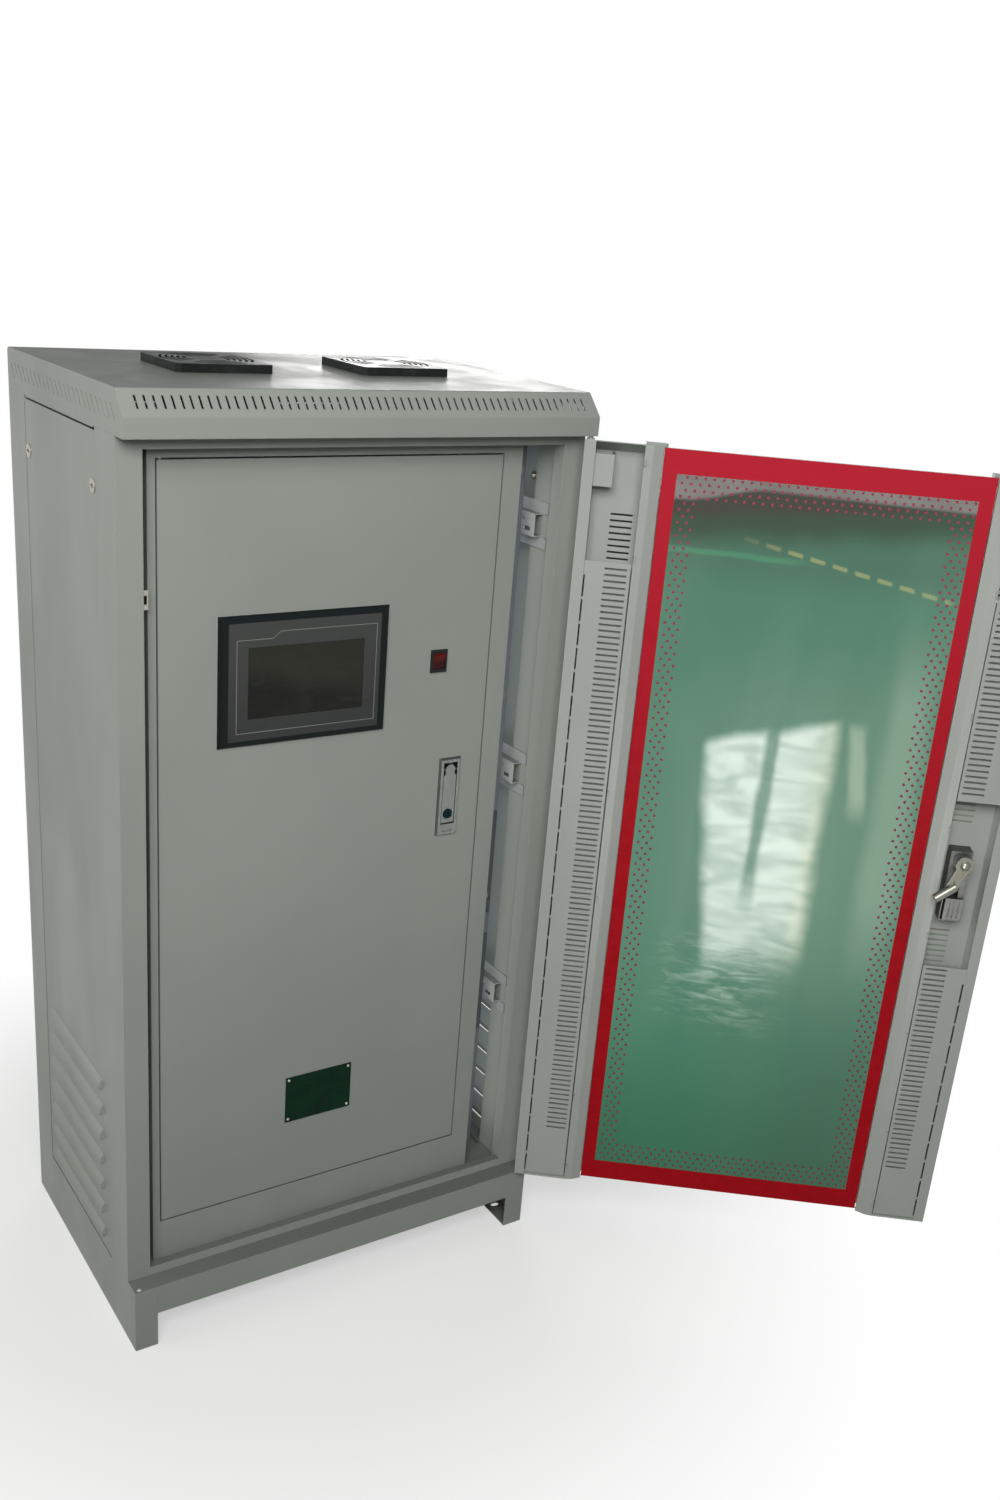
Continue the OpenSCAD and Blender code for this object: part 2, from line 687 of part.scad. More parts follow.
// Mounting plate with its side flanges, a rail, three breakers, a contactor and a row of terminals
module breaker_panel() from_front() {
    y = module_y + plate_set;
    z = base_h + plate_low;
    top = z + plate_high;
    back = body_d - module_y - 5;
    block([-upright_in + 10, y, z], [upright_in - 10, y + 2, top]);
    for (s = [-1, 1]) {
        side = s > 0 ? upright_in - 12 : -upright_in + 10;
        ear = s > 0 ? upright_in - 11 : -upright_in;
        block([side, y + 1, z], [side + 2, back, top]);
        block([ear, back - 2, z], [ear + 11, back, top]);
    }
    block([-rail_end, y - 8, z + 55], [rail_end, y + 1, z + 90]);
    for (i = [0:2]) translate([-rail_end + 10 + i * (breaker_w + 2), y, z]) {
        block([0, -breaker_d, 30], [breaker_w, -7, 115]);
        block([breaker_w / 2 - 5, -breaker_d - 10, 66], [breaker_w / 2 + 5, -breaker_d + 1, 80]);
    }
    block([-rail_end + 120, y - breaker_d - 6, z + 25], [-rail_end + 120 + contactor_w, y - 7, z + 119]);
    for (i = [1:terminal_n])
        translate([rail_end - 10 - i * terminal_pitch, y, z]) block([0, -terminal_d, 44], [terminal_pitch - 3, -7, 101]);
}

// Control surround and door

module control_surround() from_front() {
    x0 = -surround_left;
    x1 = surround_right;
    t = surround_t;
    in0 = control_left - door_gap;
    in1 = control_right + door_gap;
    low = control_bottom - door_gap;
    high = control_top + door_gap;
    difference() {
        union() {
            difference() {
                block([x0, surround_y, base_h], [x1, surround_y + surround_d, surround_high]);
                block([x0 + t, surround_y + t, base_h + t], [x1 - t, surround_y + surround_d + 1, surround_high - t]);
            }
            block([in0 - t, surround_y, low - t], [in1 + t, surround_y + control_fold + 1, high + t]);
        }
        block([in0, surround_y - 1, low], [in1, surround_y + surround_d + 1, high]);
        rod_z(control_axis[0], control_axis[1], control_pin_d, low - t - 1, high + t + 1);
    }
    for (s = [-1, 1]) block([s * 140 - 10, post_set + rail_d, header_bottom + 3], [s * 140 + 10, surround_y + 1, header_bottom + 9]);
}

module control_door_pins() from_front() {
    reach = door_gap + sheet + 2;
    rod_z(control_axis[0], control_axis[1], control_pin_d, control_bottom - door_gap - surround_t, control_bottom - door_gap + reach);
    rod_z(control_axis[0], control_axis[1], control_pin_d, control_top + door_gap - reach, control_top + door_gap + surround_t);
}

catch_z = cover_bottom - 178;
module left_catch() from_front() {
    x = -post_x + seat / 3;
    difference() {
        union() {
            block([x, post_set + 6, catch_z - 30], [x + 2, post_set + 20, catch_z + 26]);
            block([x, post_set + 8, catch_z - 10], [x + 8, post_set + 18, catch_z + 12]);
        }
        translate([x - 1, post_set + 13, catch_z + 18]) rotate([0, 90, 0]) cylinder(d = 5, h = 6);
        block([x + 3, post_set + 5, catch_z - 4], [x + 6, post_set + 21, catch_z + 6]);
    }
}

bezel_left = control_left + bezel_x;
bezel_low = control_bottom + bezel_z;
screen_x = bezel_left + 36;
screen_z = bezel_low + 35;
housing_m = 9;
switch_at = [control_right - switch_x, control_bottom + switch_z];
lock_at = [control_right - lock_x, control_bottom + lock_z];
rocker_w = switch_w - 7;
lock_slot_w = lock_handle_w + 1.6;
lock_body_h = lock_h - 16;
module control_door() from_front() {
    difference() {
        block([control_left, surround_y, control_bottom], [control_right, surround_y + control_fold, control_top]);
        block([control_left + sheet, surround_y + sheet, control_bottom + sheet],
            [control_right - sheet, surround_y + control_fold + 1, control_top - sheet]);
        block([bezel_left + housing_m, 0, bezel_low + housing_m],
            [bezel_left + bezel_w - housing_m, body_d, bezel_low + bezel_h - housing_m]);
        block([switch_at[0] - switch_w / 2 + 1.5, 0, switch_at[1] - switch_h / 2 + 1.5],
            [switch_at[0] + switch_w / 2 - 1.5, body_d, switch_at[1] + switch_h / 2 - 1.5]);
        block([lock_at[0] - lock_slot_w / 2 - 2.5, 0, lock_at[1] - lock_body_h / 2],
            [lock_at[0] + lock_slot_w / 2 + 2.5, body_d, lock_at[1] + lock_body_h / 2]);
        rod_z(control_axis[0], control_axis[1], control_pin_d + 2 * pin_clear, control_bottom - 1, control_bottom + sheet + 1);
        rod_z(control_axis[0], control_axis[1], control_pin_d + 2 * pin_clear, control_top - sheet - 1, control_top + 1);
    }
}

// Touch screen

// A plate with a sloped rim, front face towards -Y, back at y
module sloped_plate(x, z, w, h, y, t, slope) {
    intersection() {
        along_z(z, z + h) polygon([[x, y], [x + slope, y - t], [x + w - slope, y - t], [x + w, y]]);
        along_x(x, x + w) polygon([[y, z], [y - t, z + slope], [y - t, z + h - slope], [y, z + h]]);
    }
}

module screen_bezel() from_front() {
    face = surround_y - bezel_t;
    line = 0.8;
    x0 = screen_x - 15;
    x1 = screen_x + screen_w + 17;
    z0 = screen_z - 17;
    z1 = screen_z + screen_h + 18;
    step_at = screen_x + 31;
    difference() {
        sloped_plate(bezel_left, bezel_low, bezel_w, bezel_h, surround_y, bezel_t, bezel_slope);
        block([screen_x, 0, screen_z], [screen_x + screen_w, surround_y + 1, screen_z + screen_h]);
        rod_y(screen_x + screen_w + 6, screen_z + 7, 3, face - 1, face + 1);
    }
    translate([0, face - 0.3, 0]) {
        block([x0, 0, z0], [x1, 0.3, z0 + line]);
        block([x0, 0, z0], [x0 + line, 0.3, z1 - 8]);
        block([x1 - line, 0, z0], [x1, 0.3, z1]);
        block([x0, 0, z1 - 8 - line], [step_at, 0.3, z1 - 8]);
        along_y(0, 0.3) polygon([[step_at - line / 2, z1 - 8 - line], [step_at + 9.5, z1 - line], [step_at + 9.5, z1],
            [step_at - line / 2, z1 - 8]]);
        block([step_at + 9.5, 0, z1 - line], [x1, 0.3, z1]);
    }
}

module screen_glass() from_front() {
    block([screen_x, surround_y - bezel_t + 1, screen_z], [screen_x + screen_w, surround_y, screen_z + screen_h]);
}

module screen_housing() from_front() {
    clear = 1;
    difference() {
        block([bezel_left + housing_m + clear, surround_y, bezel_low + housing_m + clear],
            [bezel_left + bezel_w - housing_m - clear, surround_y + screen_back, bezel_low + bezel_h - housing_m - clear]);
        for (i = [0:9]) block([bezel_left + 50 + i * 12, surround_y + screen_back - 3, bezel_low + 30],
            [bezel_left + 55 + i * 12, surround_y + screen_back + 1, bezel_low + bezel_h - 50]);
    }
}

// Rocker switch

rocker_y = surround_y + 3;
module rocker_bezel() from_front() {
    x = switch_at[0];
    z = switch_at[1];
    difference() {
        union() {
            sloped_plate(x - switch_w / 2, z - switch_h / 2, switch_w, switch_h, surround_y, 2.5, 1);
            block([x - switch_w / 2 + 1.8, surround_y, z - switch_h / 2 + 1.8], [x + switch_w / 2 - 1.8, surround_y + 22, z + switch_h / 2 - 1.8]);
        }
        translate([x - rocker_w / 2 - 0.5, rocker_y, z]) rotate([0, 90, 0]) cylinder(r = rocker_r + 0.5, h = rocker_w + 1);
    }
    for (s = [-1, 1]) translate([x + s * 4, surround_y + 27, z]) cube([5, 10, 1], center = true);
    rod_pin(x, z);
}

module rod_pin(x, z) {
    translate([x - rocker_w / 2 - 1, rocker_y, z]) rotate([0, 90, 0]) cylinder(d = 3, h = rocker_w + 2);
}

// Paddle with two shallow faces about a cross pin; its upper half is pressed in
module rocker() from_front() {
    difference() {
        translate([switch_at[0], rocker_y, switch_at[1]]) rotate([9, 0, 0]) translate([-rocker_w / 2, 0, 0]) rotate([90, 0, 90])
            linear_extrude(rocker_w) intersection() {
                circle(r = rocker_r);
                polygon([[-3.6, 0], [-6.2, 12], [12, 12], [12, -12], [-6.2, -12]]);
            }
        translate([switch_at[0] - rocker_w, rocker_y, switch_at[1]]) rotate([0, 90, 0]) cylinder(d = 3 + 2 * pin_clear, h = 2 * rocker_w);
    }
}

// Flush lock in the control door

lock_face = surround_y - lock_t;
lock_pivot_z = lock_at[1] + lock_h / 2 - 16;
lock_button_z = lock_at[1] - 23.5;
handle_t = 3;
lock_pivot_y = lock_face + 0.4 + handle_t / 2;
cam_z = lock_at[1] + 22;
cam_pin_d = 8;
module panel_lock_body() from_front() {
    x = lock_at[0];
    z = lock_at[1];
    difference() {
        union() {
            sloped_plate(x - lock_w / 2, z - lock_h / 2, lock_w, lock_h, surround_y, lock_t, 2);
            block([x - lock_slot_w / 2 - 2, surround_y, z - lock_body_h / 2 + 0.5], [x + lock_slot_w / 2 + 2, surround_y + 12, z + lock_body_h / 2 - 0.5]);
            rod_y(x, cam_z, 16, surround_y + 12, surround_y + 15);
        }
        block([x - lock_slot_w / 2, lock_face - 1, z - 38], [x + lock_slot_w / 2, lock_face + handle_t + 1, z + lock_h / 2 - 6]);
        rod_y(x, lock_button_z, lock_button_d + 2 * pin_clear, lock_face, surround_y + 9);
        rod_y(x, cam_z, cam_pin_d + 2 * pin_clear, surround_y + 5, surround_y + 16);
        block([x - lock_slot_w / 2, lock_face, lock_pivot_z - 9], [x + lock_slot_w / 2, lock_pivot_y + 8.2, z + lock_h / 2 - 6]);
        block([x - 7, lock_face - 1, z - lock_h / 2 + 6], [x + 7, lock_face + 1, z - lock_h / 2 + 8.5]);
    }
    translate([x - lock_slot_w / 2, lock_pivot_y, lock_pivot_z]) rotate([0, 90, 0]) cylinder(d = 2, h = lock_slot_w);
}

module panel_lock_handle() from_front() {
    x = lock_at[0];
    y = lock_face + 0.4;
    difference() {
        union() {
            block([x - lock_handle_w / 2, y, lock_at[1] - 36], [x + lock_handle_w / 2, y + handle_t, lock_pivot_z - 7]);
            rod_y(x, lock_pivot_z, 14, y, y + handle_t);
            block([x - 7, y, lock_pivot_z - 8], [x + 7, y + handle_t, lock_pivot_z]);
        }
        rod_y(x, lock_button_z, lock_button_d + 1.6, y - 1, y + handle_t + 1);
        translate([x - 20, lock_pivot_y, lock_pivot_z]) rotate([0, 90, 0]) cylinder(d = 2 + 2 * pin_clear, h = 40);
    }
}

button_travel = 2;
module panel_lock_button() from_front() {
    x = lock_at[0];
    difference() {
        rod_y(x, lock_button_z, lock_button_d, lock_face - 1, surround_y + 9 - button_travel - 0.2);
        block([x - 0.6, lock_face - 2, lock_button_z - 4], [x + 0.6, lock_face, lock_button_z + 4]);
    }
}

module panel_lock_cam() from_front() {
    x = lock_at[0];
    difference() {
        union() {
            rod_y(x, cam_z, cam_pin_d, surround_y + 6, surround_y + 21);
            rod_y(x, cam_z, 18, surround_y + 15 + 0.1, surround_y + 18);
            block([x - 8, surround_y + 15.1, cam_z - 52], [x + 8, surround_y + 18, cam_z]);
        }
        rod_y(x, cam_z, 4, surround_y + 19, surround_y + 22);
    }
}

// Nameplate

plate_at = [control_left + plate_x, control_bottom + plate_z];
rivet_in = 4.5;
module nameplate() from_front() {
    difference() {
        block([plate_at[0], surround_y - 0.8, plate_at[1]], [plate_at[0] + plate_w, surround_y, plate_at[1] + plate_h]);
        for (x = [rivet_in, plate_w - rivet_in], z = [rivet_in, plate_h - rivet_in])
            rod_y(plate_at[0] + x, plate_at[1] + z, 2.4, 0, surround_y + 1);
    }
}

module nameplate_rivets() from_front() {
    for (x = [rivet_in, plate_w - rivet_in], z = [rivet_in, plate_h - rivet_in]) translate([plate_at[0] + x, surround_y - 0.8, plate_at[1] + z]) {
        rotate([-90, 0, 0]) cylinder(d = 2.4, h = 0.8);
        intersection() {
            translate([0, 1.2, 0]) sphere(r = 2.6);
            rotate([90, 0, 0]) cylinder(d = 8, h = 3);
        }
    }
}

// Glazed door, modelled shut and swung to its opening angle

module swung() {
    from_front() translate([hinge_axis[0], hinge_axis[1], 0]) rotate([0, 0, door_angle])
        translate([-hinge_axis[0], -hinge_axis[1], 0]) children();
}

// Outline points across the stile are given as distance from the door's edge
function across(u, y) = [door_edge - u, y];
skin_line = [across(stile_slant, door_back), across(0, door_back), across(stile_slant, door_front),
    across(stile_w, door_front), across(stile_w, glass_back - glass_t)];
flank_line = concat([across(ridge_x, door_front + stile_t / 2)], [for (p = bent([across(ridge_x, door_back),
    across(ridge_x + flank_w * 0.45, door_back - 1.5), across(ridge_x + flank_w, glass_back + stile_t + seat)], 8)) p]);
slot_u = ridge_x - 6 - stile_slot_l;
clip_mids = [77, 232];
clip_ends = [22.25, 141.25];

module stile_slots(u, z0, z1) {
    for (z = [z0:stile_pitch:z1]) translate([door_edge - u - stile_slot_l, z - stile_slot_h / 2]) square([stile_slot_l, stile_slot_h]);
}

// Clip on the ridge that holds a cover's edge
module stile_clip(z) {
    u = door_edge - ridge_x;
    block([u - 2.6, door_back - 1, z - 4], [u - 0.4, door_back + 2, z + 4]);
}

// Slanted sheet that closes a stile's lower end
end_slope = [[door_front, door_low + stile_slant], [door_back, door_low]];
module stile_end() intersection() {
    along_z(door_low, door_high)
        polygon([across(0, door_back), across(stile_slant, door_front), across(ridge_x, door_front), across(ridge_x, door_back)]);
    along_x(door_edge - ridge_x, door_edge) polygon(folded(end_slope, stile_t));
}

// Room below a stile's slanted end
module under_end() along_x(door_edge - ridge_x, door_edge + 1)
    polygon(concat(end_slope, [[door_back + 1, door_low], [door_back + 1, door_low - 1], [door_front - 1, door_low - 1],
        [door_front - 1, door_low + stile_slant]]));

module stile(lock_bay) {
    first = door_low + stile_slot_z;
    last = door_high - stile_slot_z;
    mid = (door_low + door_high) / 2;
    along_z(door_low, door_high) polygon(folded(flank_line, stile_t));
    difference() {
        along_z(door_low, door_high) polygon(folded(skin_line, -stile_t));
        under_end();
        translate([0, 0, 2 * mid]) mirror([0, 0, 1]) under_end();
        along_y(door_front - 1, door_front + stile_t + 0.5)
            if (lock_bay) {
                stile_slots(slot_u, first, door_low + swing_z - swing_h / 2 - 18);
                stile_slots(slot_u, first + stile_pitch * ceil((swing_z + swing_h / 2 + 32 - stile_slot_z) / stile_pitch), last);
                translate([door_edge - swing_x - swing_w / 2, door_low + swing_z - swing_h / 2]) square([swing_w, swing_h]);
            } else stile_slots(slot_u, first, last);
    }
    stile_end();
    translate([0, 0, 2 * mid]) mirror([0, 0, 1]) stile_end();
    for (s = [-1, 1]) {
        for (c = clip_mids) stile_clip(mid + s * c);
        for (c = clip_ends) stile_clip(mid + s * ((door_high - door_low) / 2 - c));
    }
}

eye_h = 16;
eye_r = 5;
pin_up = 18;
module hinge_stile() swung() {
    difference() {
        union() {
            stile(false);
            for (z = [door_low, door_high - eye_h]) rod_z(hinge_axis[0], hinge_axis[1], 2 * eye_r, z, z + eye_h);
            block([door_edge - 38, door_back - 6, door_high - 56], [door_edge - 14, door_back - 3, door_high - 16]);
            block([door_edge - 38, door_front + 1, door_high - 56], [door_edge - 35, door_back - 3, door_high - 16]);
        }
        for (z = [door_low - 1, door_high - pin_up - 1])
            rod_z(hinge_axis[0], hinge_axis[1], hinge_pin_d + 2 * pin_clear, z, z + pin_up + 2);
    }
}

module latch_stile() swung() mirrored_x() stile(true);

module door_hinge_pins() from_front() {
    x = hinge_axis[0];
    y = hinge_axis[1];
    rod_z(x, y, hinge_pin_d, base_h - sheet - 3, door_low + pin_up);
    rod_z(x, y, 2 * eye_r, base_h, door_low);
    rod_z(x, y, hinge_pin_d, door_high - pin_up, cover_bottom + sheet + 3);
    rod_z(x, y, hinge_pin_d + 1, base_h - sheet - 4, base_h - sheet);
    rod_z(x, y, hinge_pin_d + 1, cover_bottom + sheet, cover_bottom + sheet + 4);
}

module door_glass() swung() {
    block([-door_edge + glass_edge, glass_back - glass_t, door_low + 3], [door_edge - glass_edge, glass_back, door_high - 3]);
}

module glass_border() swung() {
    out = door_edge - ridge_x - flank_w - 1;
    along_y(glass_back, glass_back + border_t) difference() {
        translate([-out, door_low + 3]) square([2 * out, door_high - door_low - 6]);
        translate([-out + border_side, door_low + 3 + border_end])
            square([2 * (out - border_side), door_high - door_low - 6 - 2 * border_end]);
    }
}

// Slotted cover over a stile's inner side, held under the stile's lip
dash_l = 28;
dash_pitch = 32;
cover_y1 = door_back - stile_t;
module stile_cover(z0, z1) {
    first = door_low + stile_slot_z;
    n0 = ceil((z0 + 6 - first) / stile_pitch);
    n1 = floor((z1 - 4 - first) / stile_pitch);
    along_y(cover_y1 - stile_t, cover_y1) difference() {
        translate([door_edge - ridge_x + stile_t + 0.2, z0]) square([ridge_x - stile_t - 0.2 - 8, z1 - z0]);
        stile_slots(slot_u, first + max(n0, 0) * stile_pitch, min(first + n1 * stile_pitch, door_high - stile_slot_z));
        for (z = [z0 + 4:dash_pitch:z1 - dash_l - 2]) translate([door_edge - stile_slant - 2, z]) square([2, dash_l]);
    }
}

cover_foot = 4;
module hinge_stile_cover() swung() stile_cover(door_low + cover_foot, door_high - cover_top_drop);

module latch_stile_covers() swung() mirrored_x() {
    stile_cover(door_low + cover_foot, door_low + bay_low);
    stile_cover(door_low + bay_high, door_high - cover_top_drop);
}

// Door lock: housing through the latch stile, swing-out handle outside, cranked lever inside

lock_center = [-door_edge + swing_x, door_low + swing_z];
lever_at = lock_center + [-2, lever_up];
lever_pin_d = 8;
lever_y = door_back + 7.1;
lever_t = 4;
swing_t = 3;
swing_plate_w = 36;
swing_plate_h = 152;
grip_r = 5.5;
swing_face = door_front - swing_t - seat;
swing_pivot_z = lock_center[1] + 58;
// Grooved block in the housing's lower half, and the flat rod from it to the spindle
module inner_block() {
    x = lock_center[0];
    low = lock_center[1] - swing_h / 2 + 4;
    difference() {
        block([x - swing_w / 2 + 1, door_front + 5, low], [x + swing_w / 2 - 4, door_front + 27, low + 31]);
        for (i = [-1:1]) block([x - 2.5 + i * 6, door_front + 25, low + 4], [x - 0.5 + i * 6, door_front + 28, low + 27]);
    }
    block([x - swing_w / 2 + 1, door_front + 18, low + 30], [x - swing_w / 2 + 9, door_front + 21, lever_at[1] - 6]);
}

module swing_handle_body() swung() {
    x = lock_center[0];
    z = lock_center[1];
    difference() {
        union() {
            sloped_plate(x - swing_plate_w / 2, z - swing_plate_h / 2, swing_plate_w, swing_plate_h, door_front, swing_t, 1.5);
            block([x - swing_w / 2 + 0.5, door_front, z - swing_h / 2 + 0.5], [x + swing_w / 2 - 0.5, door_front + 22, z + swing_h / 2 - 0.5]);
            for (s = [-1, 1]) block([x + s * 12.5 - 2.5, swing_face - 2 * grip_r, swing_pivot_z - 7],
                [x + s * 12.5 + 2.5, door_front - swing_t + 0.5, swing_pivot_z + 7]);
            rod_y(lever_at[0], lever_at[1], 25, door_front + 20, door_front + 26);
            rod_y(lever_at[0], lever_at[1], 16, door_front + 20, lever_y - 0.1);
        }
        rod_y(lever_at[0], lever_at[1], lever_pin_d + 2 * pin_clear, door_front + 6, lever_y + 1);
        block([x - swing_w / 2 + 2, door_front + 6, z - swing_h / 2 + 2], [x + swing_w / 2 - 2, door_front + 30, z + 24]);
    }
    inner_block();
    translate([x - 12, swing_face - grip_r, swing_pivot_z]) rotate([0, 90, 0]) cylinder(d = 4, h = 24);
}

module swing_handle() swung() {
    x = lock_center[0];
    w = 19;
    difference() {
        union() {
            along_x(x - w / 2, x + w / 2)
                polygon([[swing_face, swing_pivot_z], [swing_face, lock_center[1] - 66], [swing_face - 4, lock_center[1] - 70],
                    [swing_face - 8, lock_center[1] - 64], [swing_face - 2 * grip_r, lock_center[1]], [swing_face - 2 * grip_r, swing_pivot_z]]);
            translate([x - w / 2, swing_face - grip_r, swing_pivot_z]) rotate([0, 90, 0]) cylinder(r = grip_r, h = w);
        }
        translate([x - 20, swing_face - grip_r, swing_pivot_z]) rotate([0, 90, 0]) cylinder(d = 4 + 2 * pin_clear, h = 40);
        block([x - w / 2 + 2.5, swing_face - 5, lock_center[1] - 58], [x + w / 2 - 2.5, swing_face + 1, swing_pivot_z - 12]);
    }
}

// Lock lever: a round-ended plate on the spindle with a stout pin that is cranked out of its end
module lock_lever() swung() {
    y = lever_y;
    along_y(y, y + lever_t) translate(lever_at) {
        circle(12);
        rotate(20) translate([-8, -38]) square([16, 38]);
    }
    rod_y(lever_at[0], lever_at[1], lever_pin_d, door_front + 8, y + 1);
    intersection() {
        translate([lever_at[0], y + lever_t - 3.5, lever_at[1]]) sphere(r = 7.5);
        rod_y(lever_at[0], lever_at[1], 13, y + lever_t - 1, y + lever_t + 5);
    }
    translate([lever_at[0] + 8, y + 5.5, lever_at[1] - 30]) rotate([-13, 124, 0]) cylinder(d = 12.5, h = 31);
}

color(grey) mirrored_x() skid_right();  // left_skid
color(grey) skid_right();  // right_skid
color(grey) base_rail();  // base_front_rail
color(grey) mirror([0, 1, 0]) base_rail();  // base_rear_rail
color(grey) floor_plate();
color(dark_steel) gland_plate();
color(grey) sill();  // front_sill
color(grey) header();  // front_header
color(grey) to_rear() sill();  // rear_sill
color(grey) to_rear() header();  // rear_header
color(grey) side_top_rails();
color(grey) mirrored_x() front_post(true);  // front_left_post
color(grey) front_post(false);  // front_right_post
color(grey) to_rear() mirrored_x() front_post(false);  // rear_left_post
color(grey) to_rear() front_post(false);  // rear_right_post
color(grey) top_cover();
color(grey) mirrored_x() right_side_panel();  // left_side_panel
color(grey) right_side_panel();
color(grey) rear_panel();
color(zinc) mirrored_x() latch_at(panel_y0 + latch_edge, -1);  // left_front_latch
color(zinc) mirrored_x() latch_at(panel_y1 - latch_edge, 1);  // left_rear_latch
color(zinc) latch_at(panel_y0 + latch_edge, -1);  // right_front_latch
color(zinc) latch_at(panel_y1 - latch_edge, 1);  // right_rear_latch
color([0.1, 0.1, 0.11]) guard_at(-fan_x);  // left_fan_guard
color([0.1, 0.1, 0.11]) guard_at(fan_x);  // right_fan_guard
color([0.08, 0.08, 0.09]) fan_frame_at(-fan_x);  // left_fan_frame
color([0.08, 0.08, 0.09]) fan_frame_at(fan_x);  // right_fan_frame
color([0.13, 0.13, 0.14]) fan_rotor_at(-fan_x);  // left_fan_rotor
color([0.13, 0.13, 0.14]) fan_rotor_at(fan_x);  // right_fan_rotor
color(zinc) rack_uprights();
color(zinc) depth_braces();
color(dark_steel) cage_nuts();
color([0.3, 0.32, 0.34]) power_module(upper_z);  // upper_power_module
color([0.3, 0.32, 0.34]) power_module(lower_z);  // lower_power_module
color([0.5, 0.5, 0.48]) breaker_panel();
color(grey) control_surround();
color(dark_steel) left_catch();
color(grey) control_door();
color(zinc) control_door_pins();
color([0.1, 0.1, 0.11]) screen_bezel();
color([0.05, 0.06, 0.08]) screen_glass();
color([0.2, 0.2, 0.21]) screen_housing();
color([0.06, 0.06, 0.06]) rocker_bezel();
color([0.75, 0.08, 0.06]) rocker();
color(zinc) panel_lock_body();
color(zinc) panel_lock_handle();
color([0.08, 0.25, 0.3]) panel_lock_button();
color(zinc) panel_lock_cam();
color([0.04, 0.2, 0.14]) nameplate();
color(zinc) nameplate_rivets();
color(zinc) door_hinge_pins();
color(door_grey) hinge_stile();
color(door_grey) latch_stile();
color([0.6, 0.85, 0.7, 0.35]) door_glass();
color([0.75, 0.1, 0.2]) glass_border();
color(door_grey) hinge_stile_cover();
color(door_grey) latch_stile_covers();
color(dark_steel) swing_handle_body();
color(dark_steel) swing_handle();
color(zinc) lock_lever();
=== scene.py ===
"""Looks of the charger cabinet: finishes for the CAD nodes, the thin pieces that only this script
makes (dots printed on the door's glass, filter mats, thin fills in vent slots that carry painted
shade and painted light), floor, lamps, reflections and camera.

All lengths are metres in the row frame. "Shut" places are on the glazed door as if it were closed.
"""

import json
import math

import bmesh
import bpy
from mathutils import Matrix, Vector


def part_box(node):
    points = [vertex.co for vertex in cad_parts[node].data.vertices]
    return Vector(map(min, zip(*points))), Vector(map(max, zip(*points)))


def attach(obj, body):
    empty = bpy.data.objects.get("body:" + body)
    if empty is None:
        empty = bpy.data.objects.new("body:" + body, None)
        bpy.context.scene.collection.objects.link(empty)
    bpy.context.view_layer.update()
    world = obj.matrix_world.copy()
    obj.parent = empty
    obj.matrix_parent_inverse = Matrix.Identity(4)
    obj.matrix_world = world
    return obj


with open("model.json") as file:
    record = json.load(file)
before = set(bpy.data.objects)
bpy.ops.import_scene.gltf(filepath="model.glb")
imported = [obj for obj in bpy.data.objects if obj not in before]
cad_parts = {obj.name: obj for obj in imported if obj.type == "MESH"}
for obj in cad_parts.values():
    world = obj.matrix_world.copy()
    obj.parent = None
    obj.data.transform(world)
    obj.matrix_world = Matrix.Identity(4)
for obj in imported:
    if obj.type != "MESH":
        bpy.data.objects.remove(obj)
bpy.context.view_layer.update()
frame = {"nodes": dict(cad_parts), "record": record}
nodes = frame["nodes"]
scene = bpy.context.scene

HALF_DEPTH = 0.2025  # the cabinet's front face lies this far before y = 0
HINGE = Vector((0.2930, 0.0051 - HALF_DEPTH, 0.0))
DOOR_ANGLE = math.radians(142)
OPEN = Matrix.Translation(HINGE) @ Matrix.Rotation(DOOR_ANGLE, 4, "Z") @ Matrix.Translation(-HINGE)
GLASS_FACE = 0.0133 - HALF_DEPTH  # y of the shut glass's inner face


# Materials

